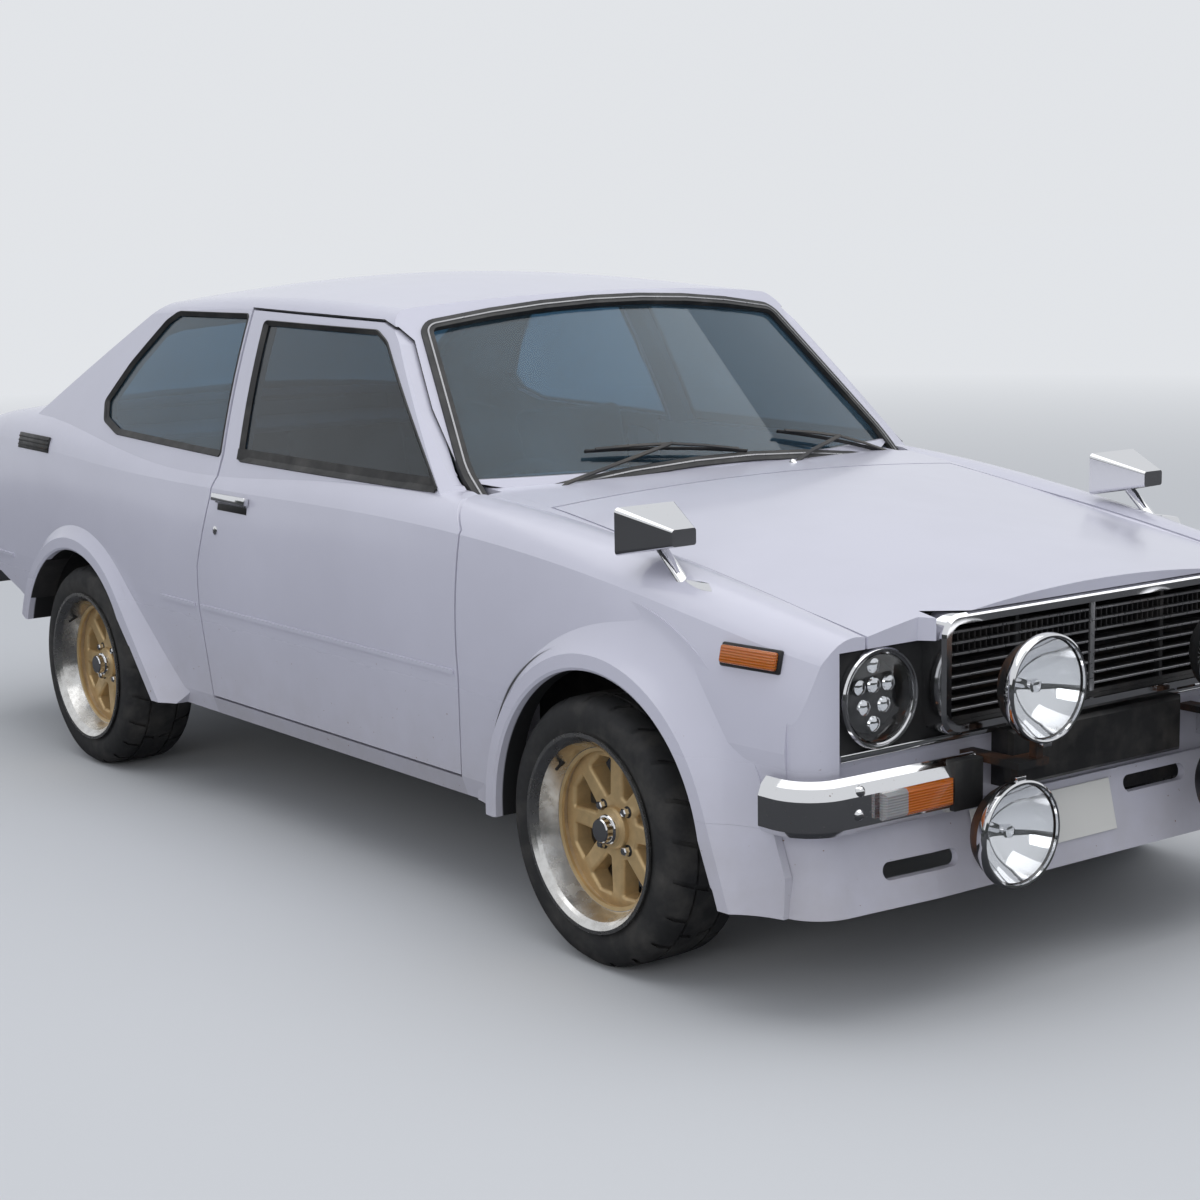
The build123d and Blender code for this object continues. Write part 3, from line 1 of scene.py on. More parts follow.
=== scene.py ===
# %% [markdown]
# # Dressing a two-door rally saloon over its CAD frame
# The body panels, wheels and running gear come from the CAD model and stay where they are. This script
# gives them their finishes and adds what is too fine or too soft for the CAD: rubbers, wipers, tyres,
# lamps, seats. Everything is in metres, +X forward, +Y to the car's left, +Z up.

import math

import bmesh
import bpy
from mathutils import Matrix, Vector
from mathutils.bvhtree import BVHTree


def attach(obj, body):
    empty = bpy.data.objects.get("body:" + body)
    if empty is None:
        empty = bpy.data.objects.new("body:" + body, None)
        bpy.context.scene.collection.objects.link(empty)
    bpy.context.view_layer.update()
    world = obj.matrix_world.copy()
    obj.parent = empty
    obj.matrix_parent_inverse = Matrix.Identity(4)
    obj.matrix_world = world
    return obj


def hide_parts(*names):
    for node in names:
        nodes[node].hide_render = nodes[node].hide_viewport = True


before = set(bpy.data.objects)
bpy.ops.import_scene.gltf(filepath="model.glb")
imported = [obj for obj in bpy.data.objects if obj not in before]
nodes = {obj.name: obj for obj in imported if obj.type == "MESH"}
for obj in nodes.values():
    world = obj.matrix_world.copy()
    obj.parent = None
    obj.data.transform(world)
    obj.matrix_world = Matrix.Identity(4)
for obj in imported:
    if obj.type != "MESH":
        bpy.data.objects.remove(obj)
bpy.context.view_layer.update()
FRONT_AXLE, REAR_AXLE, WHEEL_RADIUS = 1.260, -1.110, 0.281
SIDES = (("right", -1), ("left", 1))
print("loaded", len(nodes), "nodes")

# %% [markdown]
# A camera is placed by where it stands and how it is turned. Yaw, pitch and roll make three square axes,
# and those are the columns of the camera's matrix. The long lens keeps the car's proportions calm.

# %% Camera
def placed(name, data):
    """Object made from data and linked to the scene."""
    made = bpy.data.objects.new(name, data)
    bpy.context.scene.collection.objects.link(made)
    return made


def camera_matrix(place, yaw, pitch, roll):
    """Matrix of a camera at place that looks along yaw and pitch, in degrees, and leans by roll."""
    yaw, pitch, roll = (math.radians(a) for a in (yaw, pitch, roll))
    ahead = Vector((math.cos(yaw) * math.cos(pitch), math.sin(yaw) * math.cos(pitch), math.sin(pitch)))
    level = Vector((math.sin(yaw), -math.cos(yaw), 0))
    upright = level.cross(ahead)
    right = level * math.cos(roll) + upright * math.sin(roll)
    up = upright * math.cos(roll) - level * math.sin(roll)
    return Matrix.Translation(place) @ Matrix((right, up, -ahead)).transposed().to_4x4()


camera = placed("camera", bpy.data.cameras.new("camera"))
camera.data.sensor_width = 36
camera.data.lens = 71.6
camera.data.clip_end = 200
camera.matrix_world = camera_matrix((5.039, -3.581, 1.547), yaw=143.2, pitch=-9.51, roll=-1.05)
bpy.context.scene.camera = camera
print("camera at", [round(c, 3) for c in camera.location])

# %% [markdown]
# Car paint is read by what it mirrors, so the light is a pale sky with one broad soft box over the car and
# a weaker one beside it, which mirrors don't see.

# %% Light
def soft_box(name, place, aim, size, power):
    """Broad area lamp at place, facing aim."""
    lamp = bpy.data.lights.new(name, "AREA")
    lamp.shape = "RECTANGLE"
    lamp.size, lamp.size_y = size
    lamp.energy = power
    holder = placed(name, lamp)
    holder.location = place
    holder.rotation_euler = (Vector(aim) - Vector(place)).to_track_quat("-Z", "Y").to_euler()
    return holder


soft_box("over_light", (1.0, 0.5, 6.0), (0.6, 0.2, 0.6), (9, 11), 270)
side_light = soft_box("side_light", (5.5, -7.0, 3.0), (0, 0, 0.7), (6, 3), 120)
side_light.visible_glossy = False
world = bpy.data.worlds.new("pale_sky")
world.use_nodes = True
bpy.context.scene.world = world
sky = world.node_tree.nodes["Background"]
sky.inputs["Color"].default_value = (0.80, 0.84, 0.90, 1)
sky.inputs["Strength"].default_value = 0.62
bpy.context.scene.view_settings.view_transform = "Standard"
print("lights", len(bpy.data.lights))

# %% [markdown]
# What the lens sees behind the car is plain and pale, and a touch brighter than the sky that lights it.
# Light Path tells camera and mirror rays from the rays that light the car, so the backdrop adds no light.

# %% Backdrop
tree = world.node_tree
paths = tree.nodes.new("ShaderNodeLightPath")
seen = tree.nodes.new("ShaderNodeBackground")
seen.inputs["Color"].default_value = (0.80, 0.82, 0.85, 1)
seen.inputs["Strength"].default_value = 0.95
either = tree.nodes.new("ShaderNodeMath")
either.operation = "MAXIMUM"
choice = tree.nodes.new("ShaderNodeMixShader")
for source, target in (
    (paths.outputs["Is Camera Ray"], either.inputs[0]), (paths.outputs["Is Glossy Ray"], either.inputs[1]),
    (either.outputs[0], choice.inputs["Fac"]), (sky.outputs[0], choice.inputs[1]),
    (seen.outputs[0], choice.inputs[2]), (choice.outputs[0], tree.nodes["World Output"].inputs["Surface"]),
):
    tree.links.new(source, target)
print("backdrop set")

# %% [markdown]
# Every finish starts from one Principled shader. Its plain numbers are set on its own sockets, and noise in
# Object coordinates adds what a real surface has: cloudy colour, uneven gloss and fine bumps.

# %% A finish
class Finish:
    """A Principled material with its nodes at hand."""

    def __init__(self, name, colour, roughness, metallic=0.0, coat=0.0):
        self.material = bpy.data.materials.new(name)
        self.material.use_nodes = True
        self.tree = self.material.node_tree
        self.shader = self.tree.nodes["Principled BSDF"]
        self.shader.inputs["Base Color"].default_value = (*colour, 1)
        self.shader.inputs["Roughness"].default_value = roughness
        self.shader.inputs["Metallic"].default_value = metallic
        self.shader.inputs["Coat Weight"].default_value = coat
        self.place = self.tree.nodes.new("ShaderNodeTexCoord").outputs["Object"]

    def node(self, kind, settings=(), **inputs):
        """A new node with its settings, and values or links on its inputs, by name or as i0, i1."""
        made = self.tree.nodes.new("ShaderNode" + kind)
        for name, value in dict(settings).items():
            setattr(made, name, value)
        for name, value in inputs.items():
            numbered = name[0] == "i" and name[1:].isdigit()
            socket = made.inputs[int(name[1:]) if numbered else name.replace("_", " ")]
            if isinstance(value, bpy.types.NodeSocket):
                self.tree.links.new(value, socket)
            else:
                socket.default_value = value
        return made

    def feed(self, value, name):
        """Link value to one of the shader's inputs."""
        self.tree.links.new(value, self.shader.inputs[name])


# %% [markdown]
# A few helpers cover most finishes. Clouds drift the colour between two shades, uneven gloss drifts the
# roughness, and grain presses a fine pattern into the surface.

# %% Clouds, gloss and grain
def noise(finish, scale, detail=4.0):
    """Noise in Object coordinates, from 0 to 1."""
    return finish.node(
        "TexNoise", Vector=finish.place, Scale=scale, Detail=detail, Roughness=0.6
    ).outputs["Fac"]


def ramp(finish, value, low, high, start=0.0, end=1.0):
    """Value stretched from low..high to start..end."""
    made = finish.node("MapRange", Value=value, From_Min=low, From_Max=high, To_Min=start, To_Max=end)
    return made.outputs["Result"]


def blend_colour(finish, amount, under, over):
    """Colour that goes from under to over as amount rises."""
    under, over = (c if isinstance(c, bpy.types.NodeSocket) else (*c, 1) for c in (under, over))
    return finish.node("Mix", {"data_type": "RGBA"}, i0=amount, i6=under, i7=over).outputs[2]


def calc(finish, operation, *values):
    """Result of a Math node."""
    inputs = {f"i{i}": value for i, value in enumerate(values)}
    return finish.node("Math", {"operation": operation}, **inputs).outputs[0]


def axis(finish, name):
    """One Object coordinate."""
    return finish.node("SeparateXYZ", Vector=finish.place).outputs[name]


def length(finish, vector):
    """Length of a vector."""
    return finish.node("VectorMath", {"operation": "LENGTH"}, i0=vector).outputs["Value"]


def from_axle(finish, axle_x):
    """Distance from an axle's line."""
    at_axle = {"Location": (-axle_x, 0, -WHEEL_RADIUS), "Scale": (1, 0, 1)}
    return length(finish, finish.node("Mapping", Vector=finish.place, **at_axle).outputs["Vector"])


def uneven_gloss(finish, scale, low, high):
    finish.feed(ramp(finish, noise(finish, scale), 0.3, 0.7, low, high), "Roughness")


def grain(finish, height, strength, depth):
    """Bump from a height value; depth is in metres."""
    bump = finish.node("Bump", Height=height, Strength=strength, Distance=depth)
    finish.feed(bump.outputs["Normal"], "Normal")


# %% [markdown]
# The car stands on a plain pale floor. Chrome and glass need something dark to mirror, or they look like
# white plastic, so two dark screens stand where the lens can't see them and mirrors see a dark ground under
# the floor.

# %% Floor and screens
FLOOR = (0.66, 0.67, 0.69)
SCREEN = (0.06, 0.065, 0.06)


def mesh_object(name, mesh):
    """Object at the origin from a bmesh, which is freed."""
    data = bpy.data.meshes.new(name)
    mesh.to_mesh(data)
    mesh.free()
    return placed(name, data)


def stage_plane(name, place, size, colour):
    """Rectangle laid out by the matrix place, which isn't part of the car."""
    mesh = bmesh.new()
    matrix = place @ Matrix.Diagonal((*size, 1, 1))
    bmesh.ops.create_grid(mesh, x_segments=1, y_segments=1, size=0.5, matrix=matrix)
    made = mesh_object(name, mesh)
    made.data.materials.append(Finish(name, colour, 0.85).material)
    return made


floor = stage_plane("floor", Matrix(), (160, 160), FLOOR)
floor.visible_glossy = False
away = Finish("floor_fading_to_backdrop", FLOOR, 0.85)
fade = ramp(away, length(away, away.place), 3.5, 15.0)
away.feed(blend_colour(away, fade, FLOOR, (0, 0, 0)), "Base Color")
away.shader.inputs["Emission Color"].default_value = (0.76, 0.78, 0.81, 1)
away.feed(fade, "Emission Strength")
away.shader.inputs["Specular IOR Level"].default_value = 0
floor.data.materials[0] = away.material
ground = stage_plane("mirrored_ground", Matrix.Translation((0, 0, -0.02)), (60, 60), (0.075, 0.075, 0.08))
ground.visible_camera = ground.visible_diffuse = ground.visible_shadow = ground.visible_transmission = False
upright = Matrix.Rotation(math.pi / 2, 4, "X")
beside = Matrix.Translation((0, -9.5, 1.0)) @ upright
ahead = Matrix.Translation((10.0, 0, 1.0)) @ Matrix.Rotation(math.pi / 2, 4, "Z") @ upright
for name, place, size in (("side_screen", beside, (24, 2.0)), ("front_screen", ahead, (26, 2.0))):
    stage_plane(name, place, size, SCREEN).visible_camera = False
print("stage ready")

# %% [markdown]
# The car is an old white one that has stood outside. Its paint is white with a hint of lilac, a little
# cloudy, still glossy on top and duller low down where dust clings. A few pin-sized rust specks sit near
# the sills. Masks in Object coordinates turn it black inside the wheel arches, as painted shade, and round
# the headlamps, where the nose has black paint.

# %% Body paint
# The second white is the body white made darker, as painted shade on the side frames in the door openings.
WHITE, SHADED_INNER_WHITE = (0.62, 0.615, 0.715), (0.53, 0.525, 0.61)
DUST, RUST, BLACK_PAINT_AND_SHADE = (0.30, 0.27, 0.23), (0.16, 0.055, 0.02), (0.016, 0.016, 0.017)
# Columns: x of the axle, radius of the arch's lip
ARCHES = ((FRONT_AXLE, 0.385), (REAR_AXLE, 0.373))


def arch_painted_shade(paint):
    """Painted shade: 1 inside the wheel arches, from a finger's width behind their lips."""
    near = [ramp(paint, from_axle(paint, x), radius, radius - 0.004) for x, radius in ARCHES]
    aside = calc(paint, "ABSOLUTE", axis(paint, "Y"))
    return calc(paint, "MULTIPLY", calc(paint, "MAXIMUM", *near), ramp(paint, aside, 0.798, 0.794))


def round_lamps(paint):
    """1 on the nose above the bright strip."""
    return ramp(paint, axis(paint, "Z"), 0.514, 0.516)


def body_paint(name, colour, dust_top, black_where):
    """Old glossy paint, dusty below the height dust_top and black where the mask is 1: black paint on the
    nose, painted shade inside the arches.
    """
    paint = Finish(name, colour, 0.3, coat=0.35)
    paint.shader.inputs["Coat Roughness"].default_value = 0.12
    clouds = ramp(paint, noise(paint, 1.6), 0.35, 0.65)
    tone = blend_colour(paint, clouds, colour, [c * 0.94 for c in colour])
    height = axis(paint, "Z")
    patchy = calc(paint, "MULTIPLY", ramp(paint, height, dust_top, 0.18, 0.0, 0.6), noise(paint, 9.0))
    dusty = blend_colour(paint, patchy, tone, DUST)
    specks = ramp(paint, noise(paint, 85.0, 2.0), 0.735, 0.76)
    rust = calc(paint, "MULTIPLY", specks, ramp(paint, height, 0.62, 0.30))
    rusty = blend_colour(paint, rust, dusty, RUST)
    black = black_where(paint)
    # Black where the mask is 1: painted shade inside the wheel arches, real black paint on the nose.
    paint.feed(blend_colour(paint, black, rusty, BLACK_PAINT_AND_SHADE), "Base Color")
    gloss = ramp(paint, patchy, 0.0, 0.3, 0.26, 0.55)
    paint.feed(calc(paint, "MULTIPLY_ADD", black, 0.3, gloss), "Roughness")
    paint.feed(ramp(paint, black, 0.0, 1.0, 0.35, 0.0), "Coat Weight")
    grain(paint, noise(paint, 420.0, 1.0), 0.05, 0.0006)
    return paint.material


white_paint = body_paint("white_paint", WHITE, 0.52, arch_painted_shade)
nose_paint = body_paint("nose_paint", WHITE, 0.52, round_lamps)
# The side frames take the body white made darker, which is painted shade of the door openings.
shaded_inner_white = body_paint("shaded_inner_white", SHADED_INNER_WHITE, 0.75, arch_painted_shade)
print("paint made")

# %% [markdown]
# Underneath and on the brackets, metal is dark: oily iron on the engine and axles, black paint on steel,
# and a scaled exhaust. All are rough, with brown dirt in large soft patches.

# %% Dark metals
def dirty_metal(name, colour, dirt, roughness, metallic):
    metal = Finish(name, colour, roughness, metallic)
    patches = ramp(metal, noise(metal, 7.0, 6.0), 0.45, 0.62)
    metal.feed(blend_colour(metal, patches, colour, dirt), "Base Color")
    uneven_gloss(metal, 14.0, roughness - 0.12, roughness + 0.12)
    grain(metal, noise(metal, 160.0), 0.25, 0.0015)
    return metal.material


oily_iron = dirty_metal("oily_iron", (0.035, 0.033, 0.032), (0.10, 0.07, 0.045), 0.62, 0.4)
black_steel = dirty_metal("black_steel", (0.018, 0.018, 0.019), (0.13, 0.055, 0.025), 0.55, 0.2)
exhaust_steel = dirty_metal("exhaust_steel", (0.20, 0.19, 0.18), (0.14, 0.06, 0.03), 0.5, 0.8)
print("dark metals made")

# %% [markdown]
# Old chrome still mirrors its surroundings, but pits have opened in it and brown stains have spread from
# them. A higher number of pits lowers the noise level at which a stain starts.

# %% Chrome
CHROME = (0.80, 0.80, 0.81)


def chrome(name, pits):
    bright = Finish(name, CHROME, 0.09, 1.0)
    stain = ramp(bright, noise(bright, 190.0, 3.0), 0.74 - pits, 0.80 - pits)
    bright.feed(blend_colour(bright, stain, CHROME, (0.16, 0.08, 0.04)), "Base Color")
    bright.feed(ramp(bright, stain, 0.0, 1.0, 0.08, 0.6), "Roughness")
    grain(bright, noise(bright, 26.0), 0.06, 0.001)
    return bright.material


old_chrome = chrome("old_chrome", 0.05)
clean_chrome = chrome("clean_chrome", 0.0)
print("chrome made")

# %% [markdown]
# Glass is a solid pane here, so it bends light twice as real glass does. The body glass is tinted and dusty
# in soft patches, where less light passes. The lamp glass is clear.

# %% Glass
def pane(name, colour, dusty):
    glass = Finish(name, colour, 0.01)
    glass.shader.inputs["Transmission Weight"].default_value = 1.0
    glass.shader.inputs["IOR"].default_value = 1.48
    if dusty:
        glass.feed(ramp(glass, noise(glass, 3.0), 0.35, 0.75, 0.95, 0.87), "Transmission Weight")
    return glass.material


screen_glass = pane("screen_glass", (0.20, 0.33, 0.43), True)
door_glass = pane("door_glass", (0.17, 0.21, 0.24), True)
clear_glass = pane("clear_glass", (0.95, 0.96, 0.97), False)
print("glass made")

# %% [markdown]
# Lens plastics glow where light passes through them. Their colour is painted darker in bands along the
# moulded ribs, as painted shade between the ribs, and the ribs are pressed in as bumps too. The outer third
# of a front indicator is clear.

# %% Lens plastics
AMBER, CLEAR = (0.80, 0.20, 0.015), (0.42, 0.43, 0.44)


def lens_plastic(name, colour, ribs, clear_beyond=9.0):
    """Ribbed lens with painted shade in bands along its ribs, clear where it's further out than
    clear_beyond.
    """
    lens = Finish(name, colour, 0.18, coat=0.5)
    lens.shader.inputs["Transmission Weight"].default_value = 0.35
    lens.shader.inputs["Subsurface Weight"].default_value = 0.2
    rows = lens.node("TexWave", {"bands_direction": "Z"}, Vector=lens.place, Scale=ribs).outputs["Fac"]
    # Painted shade: the colour darkens in bands along the ribs.
    painted_rib_shade = ramp(lens, rows, 0.0, 1.0, 0.0, 0.5)
    rib_shaded_colour = blend_colour(lens, painted_rib_shade, colour, [c * 0.45 for c in colour])
    beyond = ramp(lens, calc(lens, "ABSOLUTE", axis(lens, "Y")), clear_beyond, clear_beyond + 0.001)
    lens.feed(blend_colour(lens, beyond, rib_shaded_colour, CLEAR), "Base Color")
    grain(lens, rows, 0.5, 0.002)
    return lens.material


amber_lens = lens_plastic("amber_lens", AMBER, 60.0)
indicator_lens = lens_plastic("indicator_lens", AMBER, 60.0, 0.552)
red_lens = lens_plastic("red_lens", (0.42, 0.012, 0.010), 45.0)
print("lens plastics made")

# %% [markdown]
# Rubber and black plastic differ mostly in gloss. Aged rubber is grey-black with a bloom of dust, and the
# grained plastic of the dashboard has small leather-like cells.

# %% Black plastics and rubbers
def dull_black(name, colour, bloom, roughness, cell, depth):
    skin = Finish(name, colour, roughness)
    dusty = ramp(skin, noise(skin, 11.0), 0.45, 0.75, 0.0, 0.8)
    skin.feed(blend_colour(skin, dusty, colour, bloom), "Base Color")
    uneven_gloss(skin, 30.0, roughness - 0.08, roughness + 0.08)
    cells = skin.node("TexVoronoi", Vector=skin.place, Scale=cell).outputs["Distance"]
    grain(skin, cells, 0.3, depth)
    return skin.material


window_rubber = dull_black(
    "window_rubber", (0.018, 0.018, 0.019), (0.06, 0.058, 0.055), 0.55, 700.0, 0.0004
)
tyre_rubber = dull_black("tyre_rubber", (0.022, 0.022, 0.023), (0.075, 0.070, 0.064), 0.72, 500.0, 0.0006)
dash_plastic = dull_black("dash_plastic", (0.020, 0.020, 0.021), (0.045, 0.043, 0.042), 0.48, 420.0, 0.0006)
grille_black = dull_black("grille_black", (0.012, 0.012, 0.013), (0.06, 0.055, 0.05), 0.42, 300.0, 0.0004)
underseal = dull_black("underseal", (0.020, 0.020, 0.021), (0.07, 0.06, 0.05), 0.75, 180.0, 0.0015)
print("blacks made")

# %% [markdown]
# The rubbers of the windscreen and the rear window are locked by a bright plastic strip pressed into a
# groove. The blank plates are enamelled. Both need no more than one colour with an uneven gloss.

# %% Filler strip and plates
strip = Finish("filler_strip", (0.34, 0.34, 0.35), 0.28, 0.7)
uneven_gloss(strip, 60.0, 0.2, 0.45)
filler_strip = strip.material
enamel = Finish("plate_white", (0.72, 0.71, 0.68), 0.42)
uneven_gloss(enamel, 20.0, 0.35, 0.55)
plate_white = enamel.material
print("filler strip and plate finishes made")

# %% [markdown]
# A wheel has two finishes on one piece: gold paint on the spokes and inside the barrel, and bare polished
# metal on the lip. The distance from the axle tells them apart, so each wheel's material is centred on its
# own axle.

# %% Wheel finish
GOLD, LIP_START = (0.68, 0.49, 0.25), 0.1685
# Columns: end, x of its axle, distance of a wheel's middle plane from the car's
AXLES = (("front", FRONT_AXLE, 0.694), ("rear", REAR_AXLE, 0.688))


def two_tone_wheel(name, axle_x):
    """Gold inside LIP_START from the axle, polished metal outside it."""
    wheel = Finish(name, GOLD, 0.36, 0.45, coat=0.2)
    lip = ramp(wheel, from_axle(wheel, axle_x), LIP_START, LIP_START + 0.001)
    worn = ramp(wheel, noise(wheel, 34.0), 0.42, 0.7, 0.0, 0.5)
    gold = blend_colour(wheel, worn, GOLD, (0.46, 0.33, 0.18))
    bright = blend_colour(wheel, worn, (0.72, 0.71, 0.69), (0.42, 0.40, 0.37))
    wheel.feed(blend_colour(wheel, lip, gold, bright), "Base Color")
    wheel.feed(ramp(wheel, lip, 0.0, 1.0, 0.42, 1.0), "Metallic")
    gloss = ramp(wheel, lip, 0.0, 1.0, 0.40, 0.20)
    wheel.feed(calc(wheel, "MULTIPLY_ADD", worn, 0.25, gloss), "Roughness")
    grain(wheel, noise(wheel, 210.0), 0.12, 0.0008)
    return wheel.material


wheel_finishes = {end: two_tone_wheel("gold_wheel_" + end, axle_x) for end, axle_x, middle in AXLES}
print("wheel finishes", list(wheel_finishes))

# %% [markdown]
# Each CAD node gets one finish. A table of finish to nodes is easier to check against the photograph than a
# long row of calls.

# %% Finishes on the CAD nodes
dressed = [
    (white_paint, ["bonnet", "boot_lid", "front_wings", "scuttle", "roof", "quarter_panels", "tail_panel",
                   "rear_deck", "air_dam", "door_right", "door_left"]),
    (nose_paint, ["nose_panel"]),
    (shaded_inner_white, ["side_frames"]),
    (underseal, ["floor_pan", "front_structure"]),
    (door_glass, ["door_glass_right", "door_glass_left"]),
    (screen_glass, ["fixed_glass"]),
    (old_chrome, ["grille_frame", "bumpers"]),
    (clean_chrome, ["wing_mirrors"]),
    (grille_black, ["grille", "bumper_bar"]),
    (black_steel, ["lamp_brackets"]),
    (indicator_lens, ["indicators"]),
    (red_lens, ["tail_lamps"]),
    (dash_plastic, ["dashboard", "steering_wheel"]),
    (oily_iron, ["engine", "front_suspension", "rear_axle", "knuckle_right", "knuckle_left"]),
    (exhaust_steel, ["exhaust"]),
]
# Columns: corner, end, side's sign, x of the axle, distance of the wheel's middle plane from the car's
wheels = [(end + "_" + side, end, sign, x, middle) for end, x, middle in AXLES for side, sign in SIDES]
for corner, end, sign, x, middle in wheels:
    dressed += [(wheel_finishes[end], ["rim_" + corner]), (tyre_rubber, ["tyre_" + corner])]
for material, names in dressed:
    for name in names:
        nodes[name].data.materials.clear()
        nodes[name].data.materials.append(material)
print("dressed", sum(len(names) for material, names in dressed), "nodes")

# %% [markdown]
# Every new piece ends the same way: its bmesh becomes an object at the origin, takes a finish, and rides on
# the body that carries it. Normals are made to point out once the doubles are merged.

# %% Finishing a piece
MERGE = 0.00001


def rounded(mesh, geom, offset, segments, affect="EDGES"):
    bmesh.ops.bevel(
        mesh, geom=geom, offset=offset, affect=affect, segments=segments, profile=0.5, material=-1
    )


def piece(name, mesh, material, body, smooth=30.0):
    """Object from a bmesh, riding on a CAD body. Its edges above smooth degrees stay sharp."""
    bmesh.ops.remove_doubles(mesh, verts=mesh.verts, dist=MERGE)
    bmesh.ops.recalc_face_normals(mesh, faces=mesh.faces)
    made = mesh_object(name, mesh)
    made.data.materials.append(material)
    made.data.shade_smooth()
    if smooth < 180:
        made.data.set_sharp_from_angle(angle=math.radians(smooth))
    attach(made, body)
    return made


# %% [markdown]
# The windows' rubbers cover the step from the painted frame down to the glass. A flat outline is inset to a
# ring, the ring is dropped on the bodywork along one direction, and then it gets its thickness. Casting
# rays at the CAD pieces makes the rubber follow their curves with no measuring.

# %% Dropping a shape on the bodywork
LONG_EDGE = 0.12


def surfaces(names):
    """Trees of the named CAD nodes, for rays."""
    graph = bpy.context.evaluated_depsgraph_get()
    return [BVHTree.FromObject(nodes[name], graph) for name in names]


def drop(mesh, trees, direction, lift):
    """Move each vertex along direction to the first surface, less lift, and delete what meets none."""
    direction = Vector(direction).normalized()
    missed = []
    for vert in mesh.verts:
        hits = [tree.ray_cast(vert.co, direction) for tree in trees]
        near = min((hit[3] for hit in hits if hit[0] is not None), default=None)
        if near is None:
            missed.append(vert)
        else:
            vert.co += direction * (near - lift)
    bmesh.ops.delete(mesh, geom=missed, context="VERTS")


def ring(mesh, points, rounding, outside, inside):
    """Flat ring along an outline with rounded corners, outside it and inside it by the two widths."""
    mesh.faces.new([mesh.verts.new(point) for point in points])
    rounded(mesh, mesh.verts[:] + mesh.edges[:], rounding, 5, "VERTICES")
    grown = bmesh.ops.inset_individual(mesh, faces=mesh.faces[:], thickness=-outside, use_even_offset=True)
    bmesh.ops.delete(mesh, geom=grown["faces"], context="FACES")
    bmesh.ops.inset_individual(mesh, faces=mesh.faces[:], thickness=outside + inside, use_even_offset=True)
    widest = max(mesh.faces, key=lambda face: face.calc_area())
    bmesh.ops.delete(mesh, geom=[widest], context="FACES")
    long_edges = [edge for edge in mesh.edges if edge.calc_length() > LONG_EDGE]
    bmesh.ops.subdivide_edges(mesh, edges=long_edges, cuts=6, use_grid_fill=True)


def patch(mesh, points, cuts):
    """Flat strip between four points, cut across its length."""
    face = mesh.faces.new([mesh.verts.new(point) for point in points])
    bmesh.ops.subdivide_edges(mesh, edges=[face.edges[0], face.edges[2]], cuts=cuts)


def laid(name, mesh, skin, direction, lift, thickness, material, body):
    """Piece from a flat mesh dropped on the CAD nodes of skin and then thickened towards them."""
    drop(mesh, surfaces(skin), direction, lift)
    bmesh.ops.recalc_face_normals(mesh, faces=mesh.faces)
    bmesh.ops.solidify(mesh, geom=mesh.faces[:], thickness=thickness)
    return piece(name, mesh, material, body)


# %% [markdown]
# The side windows' outlines are seen from the side, so the rays go straight across the car. The left side
# is the same outline dropped from the other side. A wider seal wipes the door glass along its foot.

# %% Side window rubbers
DOOR_REAR = REAR_AXLE + 0.697
door_window = [
    (FRONT_AXLE - 0.650, 0.916), (FRONT_AXLE - 1.000, 1.228), (FRONT_AXLE - 1.052, 1.252),
    (DOOR_REAR + 0.100, 1.260), (DOOR_REAR + 0.160, 0.924),
]
quarter_window = [
    (DOOR_REAR + 0.058, 0.928), (DOOR_REAR + 0.002, 1.274), (REAR_AXLE + 0.300, 1.270),
    (REAR_AXLE + 0.246, 1.246),
    (REAR_AXLE + 0.110, 1.128), (REAR_AXLE + 0.018, 1.022), (REAR_AXLE + 0.046, 0.972),
    (REAR_AXLE + 0.140, 0.944),
]
waist = [
    (FRONT_AXLE - 0.668, 0.917), (DOOR_REAR + 0.154, 0.925), (DOOR_REAR + 0.151, 0.951),
    (FRONT_AXLE - 0.697, 0.943),
]
for side, sign in SIDES:
    door = "door_" + side
    door_skin = (door, "door_glass_" + side)
    quarter_skin = ("quarter_panels", "fixed_glass", "roof", door)
    for name, outline, skin, body in (
        ("door_rubber_", door_window, door_skin, door),
        ("quarter_rubber_", quarter_window, quarter_skin, "car"),
    ):
        mesh = bmesh.new()
        ring(mesh, [(x, sign * 0.9, z) for x, z in outline], 0.010, 0.003, 0.010)
        rubber = laid(name + side, mesh, skin, (0, -sign, 0), 0.0035, 0.004, window_rubber, body)
        print(rubber.name, len(rubber.data.polygons), "faces")
    mesh = bmesh.new()
    patch(mesh, [(x, sign * 0.9, z) for x, z in waist], 20)
    laid("waist_seal_" + side, mesh, door_skin, (0, -sign, 0), 0.005, 0.006, window_rubber, door)

# %% [markdown]
# The windscreen and the rear window lean and curve, so their outlines are laid out on the slope first. A
# small matrix takes points from across-and-up the slope to the car's frame, after they have sunk with the
# glass's curve.

# %% Windscreen and rear window rubbers
def slope(foot_x, foot_z, lean, facing):
    """Matrix from (across, up the slope, out of the glass) to the car's frame."""
    lean = math.radians(lean)
    up = Vector((-facing * math.cos(lean), 0, math.sin(lean)))
    out = Vector((facing * math.sin(lean), 0, math.cos(lean)))
    turn = Matrix((Vector((0, 1, 0)), up, out)).transposed().to_4x4()
    return Matrix.Translation((foot_x, 0, foot_z)) @ turn


def sunk_back(bend, across):
    """Depth that glass of radius bend has fallen back at a distance across from its middle."""
    return bend - math.sqrt(bend ** 2 - across ** 2)


SCREEN_BEND, REAR_BEND = 2.4, 5.0
windscreen = slope(FRONT_AXLE - 0.489, 0.922, 41.8, 1)
rear_window = slope(REAR_AXLE - 0.500, 0.986, 26.4, -1)
